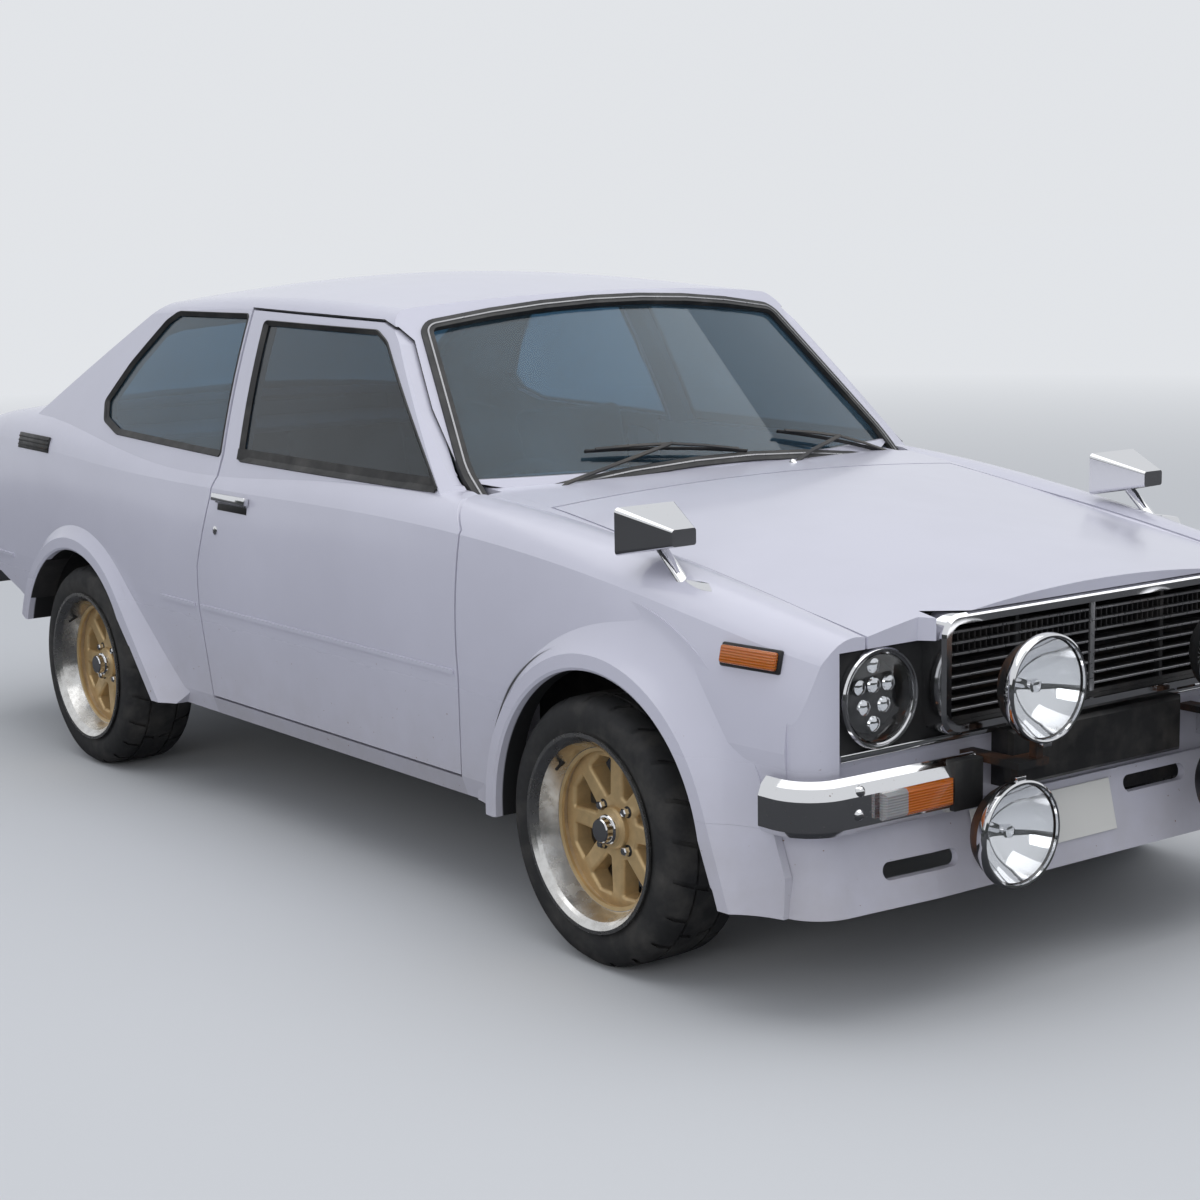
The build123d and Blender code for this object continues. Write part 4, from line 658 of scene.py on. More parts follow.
# Columns: name, slope, radius that it curves across the car, outline
leaning = [
    ("windscreen", windscreen, SCREEN_BEND,
     [(-0.644, 0.021), (0.644, 0.021), (0.644, 0.144), (0.540, 0.585), (-0.540, 0.585), (-0.644, 0.144)]),
    (
        "rear_window", rear_window, REAR_BEND,
        [(-0.600, 0.036), (0.600, 0.036), (0.520, 0.622), (-0.520, 0.622)]
    ),
]
# Columns: part of the seal, width outside the opening's edge, width inside it, height, material
seal_parts = [
    ("rubber", 0.006, 0.022, 0.006, window_rubber), ("filler", -0.007, 0.011, 0.0075, filler_strip)
]
for name, plane, bend, outline in leaning:
    for part, outside, inside, height, material in seal_parts:
        mesh = bmesh.new()
        ring(mesh, [(across, up, 0) for across, up in outline], 0.030, outside, inside)
        bmesh.ops.recalc_face_normals(mesh, faces=mesh.faces)
        for vert in mesh.verts:
            vert.co.z = height - sunk_back(bend, vert.co.x)
        bmesh.ops.solidify(mesh, geom=mesh.faces[:], thickness=height + 0.007)
        bmesh.ops.transform(mesh, matrix=plane, verts=mesh.verts)
        seal = piece(name + "_" + part, mesh, material, "car")
        print(seal.name, len(seal.data.polygons), "faces")

# %% [markdown]
# Round things such as lamps are spun. A profile of a few points is drawn from the axis outwards, and a full
# spin merges its ends into a closed skin. The helper draws it along +X and then turns it to where it faces.

# %% A spun shape
def spun(mesh, profile, steps, place, facing=(1, 0, 0)):
    """Full spin of profile, a list of (along, radius), about the line through place along facing."""
    verts = [mesh.verts.new((along, radius, 0)) for along, radius in profile]
    edges = [mesh.edges.new(pair) for pair in zip(verts, verts[1:])]
    before = set(mesh.verts)
    bmesh.ops.spin(mesh, geom=verts + edges, cent=(0, 0, 0), axis=(1, 0, 0), angle=2 * math.pi, steps=steps,
                   use_merge=True)
    fresh = [vert for vert in mesh.verts if vert not in before] + verts
    turn = Vector((1, 0, 0)).rotation_difference(Vector(facing)).to_matrix().to_4x4()
    bmesh.ops.transform(mesh, matrix=Matrix.Translation(place) @ turn, verts=fresh)


def spun_pieces(table, places, body, facing=(1, 0, 0)):
    """Pieces with the same spun shape at each of places. Columns: name, steps, material, profile."""
    made = []
    for name, steps, material, profile in table:
        mesh = bmesh.new()
        for place in places:
            spun(mesh, profile, steps, place, facing)
        made.append(piece(name, mesh, material, body))
    return made


# %% [markdown]
# A driving lamp is a black steel bowl with a chrome rim round clear glass. Behind the glass a silvered dish
# throws the light forward, and a small cap sits over the bulb. The CAD lamp is one solid, so it's replaced.

# %% Driving lamps
silvered = Finish("silvered_dish", (0.86, 0.86, 0.87), 0.06, 1.0).material
UPPER_LAMP = (FRONT_AXLE + 0.775, 0.277, 0.627)
LOWER_LAMP = (FRONT_AXLE + 0.757, 0.327, 0.349)
lamp_places = [(x, side * y, z) for x, y, z in (UPPER_LAMP, LOWER_LAMP) for side in (-1, 1)]
lamp_parts = [
    ("driving_lamp_bowls", 48, black_steel,
     [(-0.098, 0), (-0.098, 0.022), (-0.094, 0.040), (-0.080, 0.066), (-0.064, 0.083), (-0.046, 0.094),
      (-0.026, 0.100), (-0.026, 0.096), (-0.044, 0.089), (-0.062, 0.078), (-0.078, 0.062), (-0.090, 0.040),
      (-0.0945, 0.020), (-0.0945, 0)]),
    ("driving_lamp_rims", 64, clean_chrome,
     [(-0.027, 0.1005), (-0.027, 0.1035), (-0.022, 0.106), (-0.014, 0.106), (-0.008, 0.1045),
      (-0.0055, 0.101), (-0.0065, 0.0975), (-0.012, 0.0965), (-0.016, 0.098),
      (-0.018, 0.1005), (-0.027, 0.1005)]),
    ("driving_lamp_lenses", 64, clear_glass,
     [(0, 0), (-0.0008, 0.030), (-0.0035, 0.060), (-0.0075, 0.084), (-0.0115, 0.0965), (-0.0145, 0.0965),
      (-0.0115, 0.084), (-0.0075, 0.060), (-0.0048, 0.030), (-0.004, 0)]),
    ("driving_lamp_dishes", 48, silvered,
     [(-0.090, 0), (-0.089, 0.012), (-0.082, 0.034), (-0.068, 0.058), (-0.048, 0.079), (-0.022, 0.0945),
      (-0.020, 0.0945), (-0.046, 0.0775), (-0.066, 0.0565), (-0.080, 0.0325), (-0.087, 0.011),
      (-0.088, 0)]),
    ("driving_lamp_bulbs", 24, clean_chrome,
     [(-0.087, 0), (-0.087, 0.009), (-0.060, 0.009), (-0.046, 0.014), (-0.040, 0.012), (-0.036, 0)]),
]
lamp_bowls = spun_pieces(lamp_parts, lamp_places, "car")[0]
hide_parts("driving_lamps")
print("driving lamps at", lamp_places[:2])

# %% [markdown]
# The headlamps are modern units in an old body: a clear cover over a black mask, in which seven small
# lenses catch the light. A thin chrome ring with a groove holds the cover.

# %% Headlamps
NOSE_X = FRONT_AXLE + 0.612 - 0.030 + 0.0146
HEADS = [(NOSE_X, side * 0.562, 0.624) for side in (-1, 1)]
head_parts = [
    ("headlamp_covers", 64, clear_glass,
     [(0.0275, 0), (0.0262, 0.030), (0.0225, 0.056), (0.0165, 0.074), (0.0125, 0.0835), (0.0095, 0.0835),
      (0.0135, 0.073), (0.0195, 0.055), (0.0232, 0.030), (0.0245, 0)]),
    ("headlamp_masks", 48, grille_black,
     [(-0.020, 0), (-0.020, 0.070), (0.004, 0.080), (0.004, 0.084), (-0.030, 0.084), (-0.030, 0)]),
    ("headlamp_rings", 64, old_chrome,
     [(0.001, 0.0845), (0.001, 0.0965), (0.012, 0.0965), (0.016, 0.0935), (0.0155, 0.0905), (0.012, 0.0895),
      (0.0145, 0.0875), (0.013, 0.0845), (0.001, 0.0845)]),
]
head_covers = spun_pieces(head_parts, HEADS, "car")[0]
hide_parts("headlamps")
little = [(-0.020, 0), (-0.020, 0.0165), (-0.006, 0.0165), (-0.002, 0.014), (0.001, 0.008), (0.002, 0)]
# Columns: across and up from the lamp's middle
spread = [
    (-0.038, 0.022), (0, 0.022), (0.038, 0.022), (-0.026, -0.018), (0.026, -0.018), (0, -0.052), (0, 0.060)
]
spots = [(x - 0.001, y + across, z + up) for x, y, z in HEADS for across, up in spread]
spun_pieces([("headlamp_spots", 24, silvered, little)], spots, "car")
print("headlamp spots", len(spots))

# %% [markdown]
# Small fittings are built in their own frame and then set on the bodywork. A ray finds the skin, and its
# normal gives the frame: local x runs along the skin, local y up it and local z out of it.

# %% Setting fittings on the skin
HERE = Matrix.Identity(4)


def skin_frame(skin, origin, direction):
    """Matrix at the point where a ray meets the CAD nodes named in skin."""
    direction = Vector(direction).normalized()
    hits = [tree.ray_cast(Vector(origin), direction) for tree in surfaces(skin)]
    point, out = min((hit for hit in hits if hit[0] is not None), key=lambda hit: hit[3])[:2]
    if out.dot(direction) > 0:
        out = -out
    up = (Vector((0, 0, 1)) - out * out.z).normalized()
    return Matrix.Translation(point) @ Matrix((up.cross(out), up, out)).transposed().to_4x4()


def local_box(mesh, place, centre, size, rounding=0.0, segments=2):
    """Box in the frame place, with its edges rounded."""
    matrix = place @ Matrix.Translation(centre) @ Matrix.Diagonal((*size, 1))
    made = bmesh.ops.create_cube(mesh, size=1.0, matrix=matrix)["verts"]
    if rounding:
        rounded(mesh, list({edge for vert in made for edge in vert.link_edges}), rounding, segments)


def local_disc(mesh, place, centre, profile, steps=24):
    """Spun shape in the frame place, facing out of the skin."""
    spun(mesh, profile, steps, place @ Vector(centre), place.to_3x3() @ Vector((0, 0, 1)))


def box_piece(name, boxes, material, body, rounding=0.0, segments=2):
    """Piece of rounded boxes. Columns of boxes: frame, centre, size."""
    mesh = bmesh.new()
    for place, centre, size in boxes:
        local_box(mesh, place, centre, size, rounding, segments)
    return piece(name, mesh, material, body)


print("fitting helpers ready")

# %% [markdown]
# A flank carries an amber repeater on a rubber base, a flap handle over a black plate that is painted shade
# for its recess, a key lock with a black slot that is painted shade for its keyhole, and a vent in the
# pillar behind the window. A silvered plate in the mirror's shell is its glass. Both sides are alike.

# %% Side fittings
def flank(x, z, sign, name):
    """Frame on a side of the car, at x from the front axle."""
    return skin_frame([name], (FRONT_AXLE + x, sign * 1.0, z), (0, -sign, 0))


for side, sign in SIDES:
    door = "door_" + side
    at = flank(0.447, 0.6995, sign, "front_wings")
    box_piece(
        "repeater_base_" + side, [(at, (0, 0, 0.001), (0.150, 0.046, 0.010))], window_rubber, "car", 0.004
    )
    box_piece(
        "repeater_lens_" + side, [(at, (0, 0, 0.010), (0.138, 0.035, 0.014))], amber_lens, "car", 0.005, 3
    )
    at = flank(-1.4875, 0.823, sign, door)
    # A black plate under the handle: painted shade of the pressed recess behind the flap.
    box_piece(
        "handle_recess_painted_shade_" + side, [(at, (0, -0.006, 0), (0.150, 0.040, 0.003))], grille_black, door, 0.001
    )
    flap = [(at, (0, 0.006, 0.010), (0.172, 0.020, 0.016)), (at, (0, -0.004, 0.004), (0.160, 0.010, 0.008))]
    box_piece("handle_flap_" + side, flap, clean_chrome, door, 0.0035, 3)
    at = flank(-1.568, 0.745, sign, door)
    mesh = bmesh.new()
    local_disc(
        mesh, at, (0, 0, 0), [(-0.002, 0), (-0.002, 0.011), (0.002, 0.011), (0.003, 0.009), (0.003, 0)]
    )
    piece("door_lock_" + side, mesh, clean_chrome, door)
    # A black slot on the lock: painted shade of the keyhole.
    box_piece("keyhole_painted_shade_" + side, [(at, (0, 0, 0.003), (0.0022, 0.010, 0.001))], grille_black, door)
    at = flank(-2.725, 0.885, sign, "quarter_panels")
    box_piece(
        "pillar_vent_" + side, [(at, (0, 0, -0.001), (0.236, 0.046, 0.006))], grille_black, "car", 0.002
    )
    vent_bars = [(at, (0, up, 0.003), (0.228, 0.004, 0.004)) for up in (-0.012, 0.0, 0.012)]
    box_piece("vent_bars_" + side, vent_bars, black_steel, "car", 0.001)
    at = Matrix.Translation((FRONT_AXLE + 0.132 - 0.062, sign * 0.690, 0.902))
    box_piece("mirror_glass_" + side, [(at, (-0.0006, 0, 0), (0.0012, 0.138, 0.080))], silvered, "car")
print("side fittings made")

# %% [markdown]
# The wipers park low on the windscreen. Each has a chrome cap on its spindle, a sprung arm lying over the
# glass, and a blade whose back bows up in the middle. They're laid out on the windscreen's slope.

# %% Wipers
screen_out = windscreen.to_3x3() @ Vector((0, 0, 1))


def glass_point(across, up, lift):
    """Point on the windscreen's curve, lifted square off it."""
    return windscreen @ Vector((across, up, lift - sunk_back(SCREEN_BEND, across)))


def bar(mesh, points, width, height):
    """Flat bar along points, of square blocks turned to each run."""
    for start, end in zip(points, points[1:]):
        along = (end - start).normalized()
        side_way = along.cross(screen_out).normalized()
        turn = Matrix((along, side_way, along.cross(side_way))).transposed().to_4x4()
        size = ((end - start).length + width * 0.4, width, height)
        local_box(mesh, Matrix.Translation((start + end) / 2) @ turn, (0, 0, 0), size, height * 0.2, 1)


wiper_black = dirty_metal("wiper_black", (0.022, 0.022, 0.024), (0.06, 0.055, 0.05), 0.5, 0.1)
SPINDLE_UP = -0.018
# Columns: name, spindle's y, blade's two ends as (across, up the slope)
wipers = [
    ("right", -0.544, (-0.352, 0.112), (0.076, 0.044)), ("left", 0.173, (0.215, 0.104), (0.600, 0.050))
]
cap = [
    (-0.020, 0), (-0.020, 0.012), (-0.004, 0.012), (-0.002, 0.009), (0.012, 0.009), (0.016, 0.007),
    (0.017, 0)
]
# Columns: share of the blade's length, height of its back over the glass
bow = ((0.06, 0.012), (0.28, 0.018), (0.5, 0.022), (0.72, 0.018), (0.94, 0.012))
for name, spindle_y, low_end, high_end in wipers:
    spindle = glass_point(spindle_y, SPINDLE_UP, 0.014)
    spun_pieces([("wiper_cap_" + name, 24, clean_chrome, cap)], [spindle], "car", screen_out)
    low_end, high_end = Vector(low_end), Vector(high_end)
    elbow = glass_point(spindle_y + 0.10, SPINDLE_UP + 0.045, 0.020)
    mesh = bmesh.new()
    bar(mesh, [spindle, elbow, glass_point(*(low_end + high_end) / 2, 0.024)], 0.009, 0.005)
    bar(mesh, [glass_point(*low_end.lerp(high_end, t), lift) for t, lift in bow], 0.008, 0.004)
    piece("wiper_arm_" + name, mesh, wiper_black, "car")
    mesh = bmesh.new()
    bar(mesh, [glass_point(*low_end.lerp(high_end, t / 8), 0.0065) for t in range(9)], 0.006, 0.010)
    piece("wiper_blade_" + name, mesh, window_rubber, "car")
print("wipers laid")

# %% [markdown]
# Inside the chrome surround, each bar of the grille has a worn bright front edge. Short teeth stand in the
# two upper gaps, and a post stands in the middle. The teeth are one box repeated along a row.

# %% Grille
GRILLE_LOW, GRILLE_HIGH, GRILLE_FRONT = 0.5563, 0.7497, NOSE_X + 0.026
slats = [GRILLE_LOW + (GRILLE_HIGH - GRILLE_LOW) * (i + 1) / 9 for i in range(8)]
edges = [(HERE, (GRILLE_FRONT + 0.0006, side * 0.2115, z), (0.0028, 0.405, 0.0042)) for z in slats
         for side in (-1, 1)]
box_piece("grille_edges", edges, filler_strip, "car", 0.0008, 1)
teeth = [(HERE, (GRILLE_FRONT - 0.011, side * (0.016 + 0.0155 * i), (low + high) / 2),
          (0.018, 0.0035, high - low - 0.006))
         for side in (-1, 1) for i in range(26) for low, high in zip(slats[-3:], slats[-2:])]
box_piece("grille_teeth", teeth, grille_black, "car")
post = [(HERE, (GRILLE_FRONT + 0.001, 0, (GRILLE_LOW + GRILLE_HIGH) / 2), (0.006, 0.013, 0.180))]
box_piece("grille_post", post, filler_strip, "car", 0.001)
print("grille teeth", len(teeth))

# %% [markdown]
# A bright strip runs under the lamps and the grille. Each quarter bumper ends in a black block and is held
# by round-headed bolts, and the lamps have small clamps where their rims close. The plates are blank.

# %% Bumper fittings
box_piece(
    "bright_strip", [(HERE, (NOSE_X + 0.006, 0, 0.5215), (0.012, 1.324, 0.015))], old_chrome, "car", 0.003
)
ends = [(HERE, (1.9075, side * 0.384, 0.441), (0.036, 0.078, 0.098)) for side in (-1, 1)]
box_piece("bumper_ends", ends, window_rubber, "car", 0.004)
bolt = [(-0.003, 0), (-0.003, 0.011), (0.001, 0.011), (0.005, 0.008), (0.007, 0.004), (0.0075, 0)]
mesh = bmesh.new()
for side in (-1, 1):
    for y, z in ((0.650, 0.468), (0.656, 0.424)):
        local_disc(mesh, skin_frame(["bumpers"], (2.3, side * y, z), (-1, 0, 0)), (0, 0, 0), bolt, 20)
piece("bumper_bolts", mesh, clean_chrome, "car")
clamps = [(HERE, (x - 0.016, y, z + (-0.108 if z > 0.5 else 0.108)), (0.012, 0.024, 0.010))
          for x, y, z in lamp_places]
box_piece("lamp_clamps", clamps, clean_chrome, "car", 0.002)
front_plate = skin_frame(["air_dam"], (2.3, -0.130, 0.320), (-1, 0, 0))
rear_plate = skin_frame(["tail_panel"], (-2.4, 0.0, 0.610), (1, 0, 0))
plates = [
    (front_plate, (0, 0, 0.003), (0.400, 0.105, 0.002)), (rear_plate, (0, 0, 0.003), (0.440, 0.110, 0.002))
]
box_piece("blank_plates", plates, plate_white, "car", 0.0008, 1)
print("bumper fittings made")

# %% [markdown]
# A tyre's tread is cut, not stuck on, so the tyre is spun from its section and then grooved: faces along
# two rings, across the shoulders and in short slots between are extruded inwards. Then the tread is sheared
# towards its shoulders, which turns the straight cuts into the arrow shape of a rain tyre.

# %% Tyres
TYRE_STEPS = 168
GROOVE_DEPTH = 0.006
# Radii beyond which faces may be cut and points are sheared, and turn for each metre out
CUT_FROM, SHEAR_FROM, SHEAR = 0.26, 0.262, -1.3
# Columns: distance outboard of the wheel's middle plane, radius
tyre_section = [
    (-0.0970, 0.206), (-0.0970, 0.1925), (0.0970, 0.1925), (0.0970, 0.206), (0.1007, 0.216),
    (0.1021, 0.228),
    (0.1018, 0.242), (0.0992, 0.255), (0.0925, 0.2675), (0.0770, 0.2785), (0.0440, 0.2806),
    (0.0370, 0.2808),
    (0.0070, 0.2810), (-0.0070, 0.2810), (-0.0370, 0.2808), (-0.0440, 0.2806), (-0.0770, 0.2785),
    (-0.0925, 0.2675), (-0.0992, 0.255), (-0.1018, 0.242), (-0.1021, 0.228), (-0.1007, 0.216),
]
# Columns: from, to (outboard distance of a face's middle), phase, every how many steps, width in steps
cut_rows = [(0.038, 0.043, 0, 1, 1), (0.045, 0.095, 0, 8, 1), (0.010, 0.035, 4, 12, 1)]


def is_cut(out, step):
    """Whether a groove runs at a distance out from the middle plane, at a step round the tyre."""
    return any(
        low < out < high and (step - phase) % every < wide for low, high, phase, every, wide in cut_rows
    )


def tyre(name, x, side, middle, node, body):
    """Grooved tyre that stands for the plain CAD node."""
    mesh = bmesh.new()
    verts = [
        mesh.verts.new((x + radius, side * (middle + out), WHEEL_RADIUS)) for out, radius in tyre_section
    ]
    edges = [mesh.edges.new((verts[i - 1], verts[i])) for i in range(len(verts))]
    bmesh.ops.spin(mesh, geom=verts + edges, cent=(x, 0, WHEEL_RADIUS), axis=(0, 1, 0), angle=2 * math.pi,
                   steps=TYRE_STEPS, use_merge=True)
    bmesh.ops.remove_doubles(mesh, verts=mesh.verts, dist=MERGE)
    bmesh.ops.recalc_face_normals(mesh, faces=mesh.faces)
    cut = []
    for face in mesh.faces:
        centre = face.calc_center_median()
        turn = math.atan2(centre.z - WHEEL_RADIUS, centre.x - x) / (2 * math.pi)
        on_tread = math.hypot(centre.x - x, centre.z - WHEEL_RADIUS) > CUT_FROM
        if on_tread and is_cut(abs(side * centre.y - middle), round((turn + 1) * TYRE_STEPS - 0.5)):
            cut.append(face)
    sunk = bmesh.ops.extrude_face_region(mesh, geom=cut)["geom"]
    bmesh.ops.delete(mesh, geom=[face for face in cut if face.is_valid], context="FACES")
    hub = Matrix.Translation((x, 0, WHEEL_RADIUS))
    scale = 1 - GROOVE_DEPTH / WHEEL_RADIUS
    shrink = hub @ Matrix.Diagonal((scale, 1, scale, 1)) @ hub.inverted()
    bmesh.ops.transform(
        mesh, matrix=shrink, verts=[item for item in sunk if isinstance(item, bmesh.types.BMVert)]
    )
    for vert in mesh.verts:
        if math.hypot(vert.co.x - x, vert.co.z - WHEEL_RADIUS) > SHEAR_FROM:
            turn = Matrix.Rotation(SHEAR * abs(side * vert.co.y - middle), 4, "Y")
            vert.co = hub @ turn @ hub.inverted() @ vert.co
    made = piece(name, mesh, tyre_rubber, body, 35.0)
    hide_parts(node)
    return made


for corner, end, sign, x, middle in wheels:
    made = tyre("tyre_" + corner + "_grooved", x, sign, middle, "tyre_" + corner, "wheel_" + corner)
    print(made.name, len(made.data.polygons), "faces")

# %% [markdown]
# Each wheel has a plain chrome cap on its hub, four nuts round it, each on a thin black disc that is
# painted shade for its sunk seat, and a rubber valve on the polished cone.

# %% Wheel fittings
VALVE_TURN = 2.4
hub_cap = [(0.044, 0), (0.044, 0.0315), (0.054, 0.0315), (0.0565, 0.0295), (0.0575, 0.0265),
           (0.070, 0.0255), (0.0725, 0.0235), (0.0735, 0)]
# A thin black disc behind each nut: painted shade of its sunk seat.
nut_seat_shade = [(0.0295, 0), (0.0295, 0.0125), (0.0305, 0.0125), (0.0305, 0)]
nut = [(0.0300, 0), (0.0300, 0.0098), (0.0420, 0.0098), (0.0445, 0.0075), (0.0455, 0)]
valve = [(-0.004, 0), (-0.004, 0.0055), (0.008, 0.0045), (0.010, 0.0035), (0.026, 0.0035), (0.027, 0)]


def off_hub(radius, out, turn):
    """Offset from a hub: a radius at a turn about the axle, and a distance along it."""
    return Vector((radius * math.cos(turn), out, radius * math.sin(turn)))


for corner, end, sign, x, middle in wheels:
    centre, outward, body = Vector((x, sign * middle, WHEEL_RADIUS)), (0, sign, 0), "wheel_" + corner
    spun_pieces([("hub_cap_" + corner, 40, clean_chrome, hub_cap)], [centre], body, outward)
    around = [centre + off_hub(0.057, 0, math.pi / 4 * k) for k in (1, 3, 5, 7)]
    fixings = [
        ("nut_seat_shades_" + corner, 24, grille_black, nut_seat_shade), ("wheel_nuts_" + corner, 6, clean_chrome, nut)
    ]
    spun_pieces(fixings, around, body, outward)
    foot = centre + off_hub(0.176, sign * 0.068, VALVE_TURN)
    leaning_in = off_hub(-0.5, sign * 0.85, VALVE_TURN)
    spun_pieces([("valve_" + corner, 12, window_rubber, valve)], [foot], body, leaning_in)
print("wheel fittings made")

# %% [markdown]
# A pressed line runs along each flank, at the height of the bumper. It's a slim ridge in the body's own
# paint, broken at the door's edges and at the rear arch.

# %% Flank line
LINE_Z, LINE_HALF = 0.541, 0.005
for side, sign in SIDES:
    door = "door_" + side
    # Columns: name, x from, x to (from the front axle), CAD node, body
    for name, start, end, node, body in (
        ("door", -0.490, -1.658, door, door), ("quarter", -1.688, -1.880, "quarter_panels", "car"),
        ("tail", -2.870, -3.160, "quarter_panels", "car"),
    ):
        low, high = LINE_Z - LINE_HALF, LINE_Z + LINE_HALF
        outline = [(start, low), (end, low), (end, high), (start, high)]
        mesh = bmesh.new()
        cuts = max(2, int(abs(end - start) / 0.04))
        patch(mesh, [(FRONT_AXLE + x, sign * 0.95, z) for x, z in outline], cuts)
        laid(f"line_{name}_{side}", mesh, [node], (0, -sign, 0), 0.0045, 0.005, white_paint, body)
print("flank lines laid")

# %% [markdown]
# A seat pad is foam in a stitched cover. A rounded block is blown up a little as cloth, so that it bulges
# between its edges, then the sewn channels are pressed in and one subdivision smooths it.

# %% Swelling a pad
VOXEL, PRESSURE, SWELL_LIMIT, SWELL_FRAMES = 0.010, 4.0, 0.022, 20
seat_vinyl = dull_black("seat_vinyl", (0.030, 0.029, 0.030), (0.07, 0.065, 0.06), 0.42, 520.0, 0.0006)


def slice_at(mesh, point, normal):
    """Cut the whole mesh along a plane."""
    whole = mesh.verts[:] + mesh.edges[:] + mesh.faces[:]
    bmesh.ops.bisect_plane(mesh, geom=whole, plane_co=point, plane_no=normal)


def pad_block(size, cuts, rounding):
    """Box with rounded edges, cut into a grid."""
    mesh = bmesh.new()
    bmesh.ops.create_cube(mesh, size=1.0, matrix=Matrix.Diagonal((*size, 1)))
    rounded(mesh, mesh.edges[:], rounding, 4)
    for way, count in enumerate(cuts):
        normal = Vector((way == 0, way == 1, way == 2))
        for i in range(1, count):
            slice_at(mesh, normal * (size[way] * (i / count - 0.5)), normal)
    return mesh


def final_mesh(thing):
    """Mesh of an object with its modifiers."""
    graph = bpy.context.evaluated_depsgraph_get()
    return bpy.data.meshes.new_from_object(thing.evaluated_get(graph))


def swell(name, mesh):
    """The block after a short cloth simulation, with no point moved by more than SWELL_LIMIT."""
    soft = mesh_object(name, mesh)
    remesh = soft.modifiers.new("remesh", "REMESH")
    remesh.mode = "VOXEL"
    remesh.voxel_size = VOXEL
    soft.data = final_mesh(soft)
    soft.modifiers.clear()
    start = [vert.co.copy() for vert in soft.data.vertices]
    cloth = soft.modifiers.new("cloth", "CLOTH")
    cloth.settings.use_pressure = True
    cloth.settings.uniform_pressure_force = PRESSURE
    cloth.settings.effector_weights.gravity = 0
    for step in range(1, SWELL_FRAMES + 1):
        bpy.context.scene.frame_set(step)
    blown = final_mesh(soft)
    bpy.context.scene.frame_set(1)
    for vert, moved in zip(start, blown.vertices):
        step = moved.co - vert
        vert += step * min(1.0, SWELL_LIMIT / max(step.length, 1e-9))
    made = bmesh.new()
    made.from_mesh(soft.data)
    for vert, co in zip(made.verts, start):
        vert.co = co
    bpy.data.objects.remove(soft)
    return made


def channels(mesh, lines, half, depth):
    """Press sewn channels into the upper side. Columns: axis, place, from and to along the other axis."""
    mesh.normal_update()
    for vert in mesh.verts:
        if vert.normal.z < 0.2:
            continue
        sunk = 0
        for way, at, low, high in lines:
            if low <= vert.co[1 - way] <= high:
                sunk = max(sunk, math.exp(-((vert.co[way] - at) / half) ** 2))
        vert.co.z -= depth * sunk


def pad(name, size, lines, places):
    """Padded pieces of size, swollen and sewn. Columns of places: end of the name, matrix."""
    soft = swell(name, pad_block([length - 1.6 * SWELL_LIMIT for length in size], (10, 8, 2), 0.028))
    channels(soft, lines, 0.006, 0.009)
    bmesh.ops.smooth_vert(
        soft, verts=soft.verts, factor=0.5, use_axis_x=True, use_axis_y=True, use_axis_z=True
    )
    for label, matrix in places:
        copy = soft.copy()
        bmesh.ops.transform(copy, matrix=matrix, verts=copy.verts)
        made = piece(name + label, copy, seat_vinyl, "car", 180)
        smooth = made.modifiers.new("smooth", "SUBSURF")
        smooth.levels = smooth.render_levels = 1
        print(made.name, len(made.data.polygons), "faces")
    soft.free()
    return made


print("pad helpers ready")

# %% [markdown]
# The front seats have high backs, as such cars had when the headrest was part of the seat. Cushion and back
# are separate pads on a black base. The back seat is a low bench with one long cushion and one long back.

# %% Seats
both = [("_right", -0.362), ("_left", 0.362)]


def seams(low, high, cross_ways, half):
    """Channels along the pad from low to high at +half and -half, and across it at each of cross_ways."""
    return ([(1, side * half, low, high) for side in (-1, 1)]
            + [(0, at, -half, half) for at in cross_ways])


def leaned(x, y, z, lean):
    """Matrix at a place, turned about Y by lean degrees."""
    return Matrix.Translation((x, y, z)) @ Matrix.Rotation(math.radians(lean), 4, "Y")


cushion_lines = seams(-0.2, 0.19, (-0.110, -0.030, 0.050, 0.130), 0.130)
back_lines = seams(-0.27, 0.12, (-0.180, -0.105, -0.030, 0.045, 0.120), 0.125)
pad("seat_cushion", (0.500, 0.410, 0.130), cushion_lines,
    [(label, leaned(0.060, y, 0.400, -5.0)) for label, y in both])
seat_backs = pad("seat_back", (0.620, 0.410, 0.105), back_lines,
                 [(label, leaned(-0.290, y, 0.715, 180 + 73.0)) for label, y in both])
base = [(HERE, (0.055, y, 0.305), (0.46, 0.340, 0.040)) for label, y in both]
hinges = [(leaned(-0.205, y + side * 0.212, 0.440, 17.0), (0, 0, 0), (0.060, 0.010, 0.120))
          for label, y in both for side in (-1, 1)]
box_piece("seat_bases", base + hinges, grille_black, "car", 0.004)
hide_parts("front_seats")
bench_lines = [(1, at, -0.19, 0.16) for at in (-0.36, -0.18, 0.0, 0.18, 0.36)]
pad("bench_cushion", (0.430, 1.080, 0.095), bench_lines, [("", leaned(-0.790, 0, 0.497, -4.5))])
bench = pad(
    "bench_back", (0.400, 1.080, 0.100), bench_lines, [("", leaned(-1.110, 0, 0.695, 180 + 69.5))]
)
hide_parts("rear_seat")
print("seats made")

# %% [markdown]
# Black trim lines the doors, with an armrest and a winder on each. It's dropped on the door from inside.

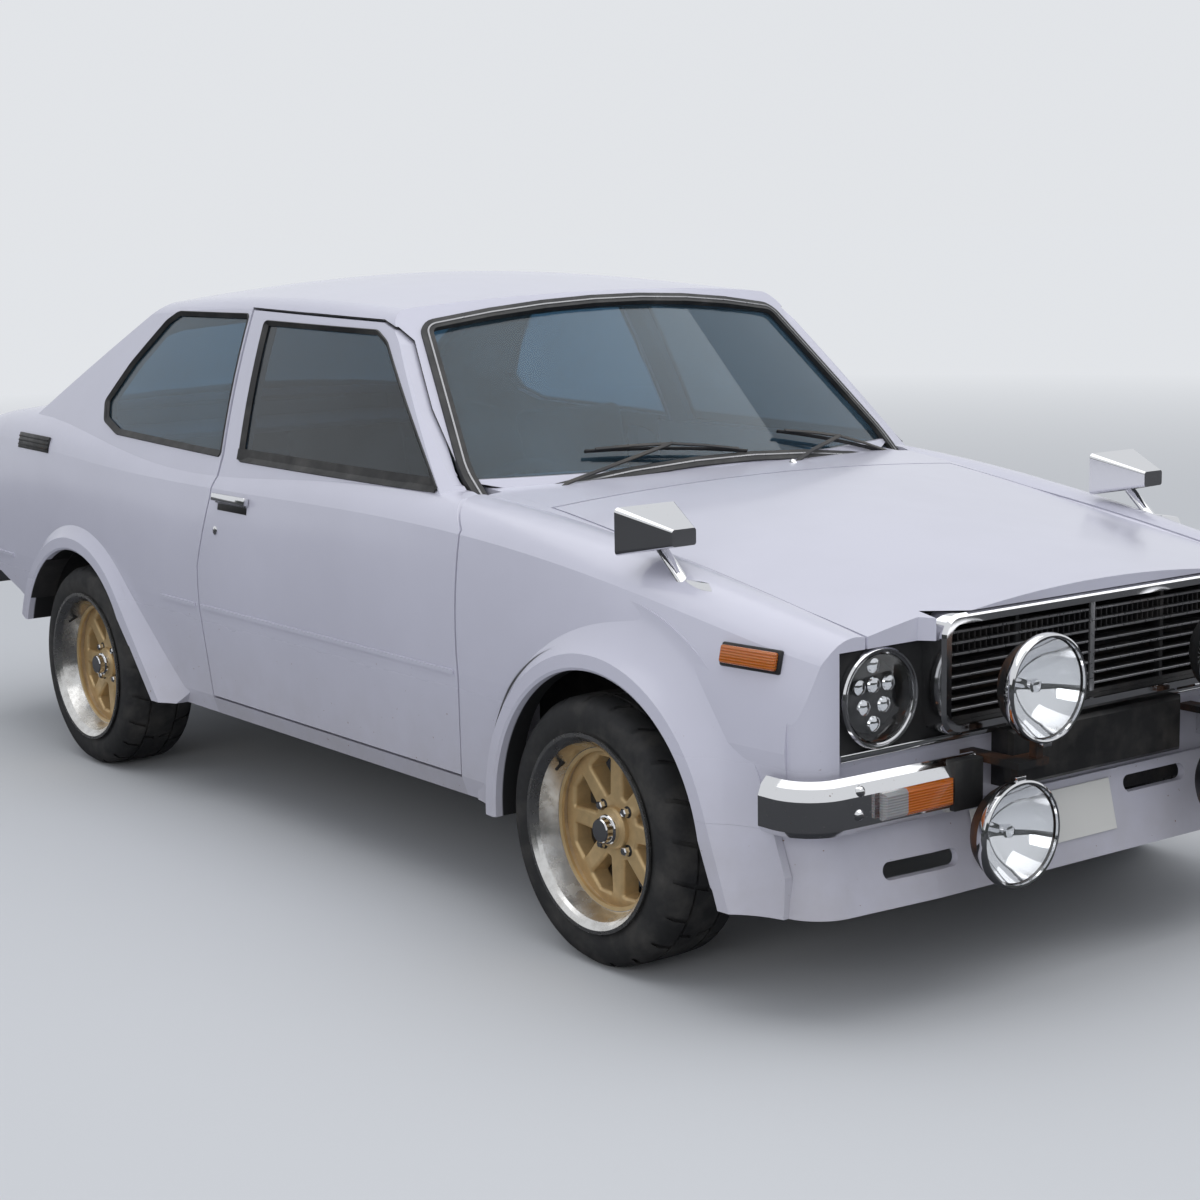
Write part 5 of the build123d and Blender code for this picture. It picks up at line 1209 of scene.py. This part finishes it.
# %% Cabin trim
trim = [(0.700, 0.400), (-0.340, 0.400), (-0.340, 0.850), (0.700, 0.850)]
for side, sign in SIDES:
    door = "door_" + side
    mesh = bmesh.new()
    patch(mesh, [(x, sign * 0.45, z) for x, z in trim], 12)
    laid("door_trim_" + side, mesh, [door], (0, sign, 0), 0.004, 0.004, seat_vinyl, door)
    inner = skin_frame([door], (0.120, sign * 0.45, 0.610), (0, sign, 0))
    box_piece(
        "armrest_" + side, [(inner, (0, 0, 0.026), (0.300, 0.048, 0.050))], seat_vinyl, door, 0.014, 3
    )
    winder = skin_frame([door], (0.330, sign * 0.45, 0.640), (0, sign, 0))
    mesh = bmesh.new()
    local_disc(mesh, winder, (0, 0, 0.003), [(0, 0), (0, 0.022), (0.010, 0.020), (0.012, 0)])
    local_box(mesh, winder, (0.045, -0.030, 0.014), (0.100, 0.014, 0.006), 0.002)
    local_disc(mesh, winder, (0.092, -0.030, 0.015), [(0, 0), (0, 0.010), (0.026, 0.012), (0.030, 0)])
    piece("winder_" + side, mesh, clean_chrome, door)
print("trim made")

# %% [markdown]
# The body's inner faces are lined in black, partly as trim and partly as painted shade, so the cabin is
# dark through the glass. Each lining is a copy of the CAD panel's faces that look into the cabin, lifted
# off the panel and thickened.

# %% Cabin lining
CABIN = Vector((-0.35, 0, 0.78))
FACING, LINING_LIFT, LINING_THICKNESS = 0.25, 0.0035, 0.0015


def lining(name, node, low, high):
    """Black lining, partly trim and partly painted shade, on the faces of a CAD node that look to the
    cabin's middle and lie between two corners.
    """
    mesh = bmesh.new()
    mesh.from_mesh(nodes[node].data)
    bmesh.ops.remove_doubles(mesh, verts=mesh.verts, dist=MERGE)
    for corner in (low, high):
        for normal in ((1, 0, 0), (0, 0, 1)):
            slice_at(mesh, corner, normal)
    outer = []
    for face in mesh.faces:
        centre = face.calc_center_median()
        inwards = (CABIN - centre).normalized().dot(face.normal)
        if inwards < FACING or any(not a < c < b for a, c, b in zip(low, centre, high)):
            outer.append(face)
    bmesh.ops.delete(mesh, geom=outer, context="FACES")
    mesh.normal_update()
    for vert, normal in [(vert, vert.normal.copy()) for vert in mesh.verts]:
        vert.co += normal * LINING_LIFT
    bmesh.ops.solidify(mesh, geom=mesh.faces[:], thickness=LINING_THICKNESS)
    made = piece(name, mesh, seat_vinyl, "car")
    print(made.name, len(made.data.polygons), "faces")


lining("quarter_lining_and_shade", "quarter_panels", (-1.52, -0.80, 0.44), (-0.38, 0.80, 1.30))
lining("roof_lining_and_shade", "roof", (-1.12, -0.66, 0.92), (0.70, 0.66, 1.36))

# %% [markdown]
# Last come small things at the tail: chrome bezels and an amber lens on each lamp, and a boot lock.

# %% Tail fittings
TAIL_X, LAMP_Z = -2.008, 0.610
bars = [
    (HERE, (TAIL_X - 0.001, side * y, LAMP_Z), (0.006, 0.006, 0.118)) for side in (-1, 1)
    for y in (0.400, 0.490)
]
rails = [(HERE, (TAIL_X + 0.010, side * 0.457, z), (0.022, 0.262, 0.005)) for side in (-1, 1)
         for z in (0.5455, 0.6745)]
box_piece("tail_bezels", bars + rails, clean_chrome, "car", 0.0015)
ambers = [(HERE, (TAIL_X - 0.0008, side * 0.365, LAMP_Z), (0.0030, 0.060, 0.104)) for side in (-1, 1)]
box_piece("tail_indicators", ambers, amber_lens, "car", 0.001)
key = [(-0.002, 0), (-0.002, 0.014), (0.004, 0.014), (0.006, 0.011), (0.005, 0)]
mesh = bmesh.new()
local_disc(mesh, skin_frame(["tail_panel", "boot_lid"], (-2.4, 0, 0.735), (1, 0, 0)), (0, 0, 0), key)
piece("boot_lock", mesh, clean_chrome, "boot_lid")
print("tail fittings made")
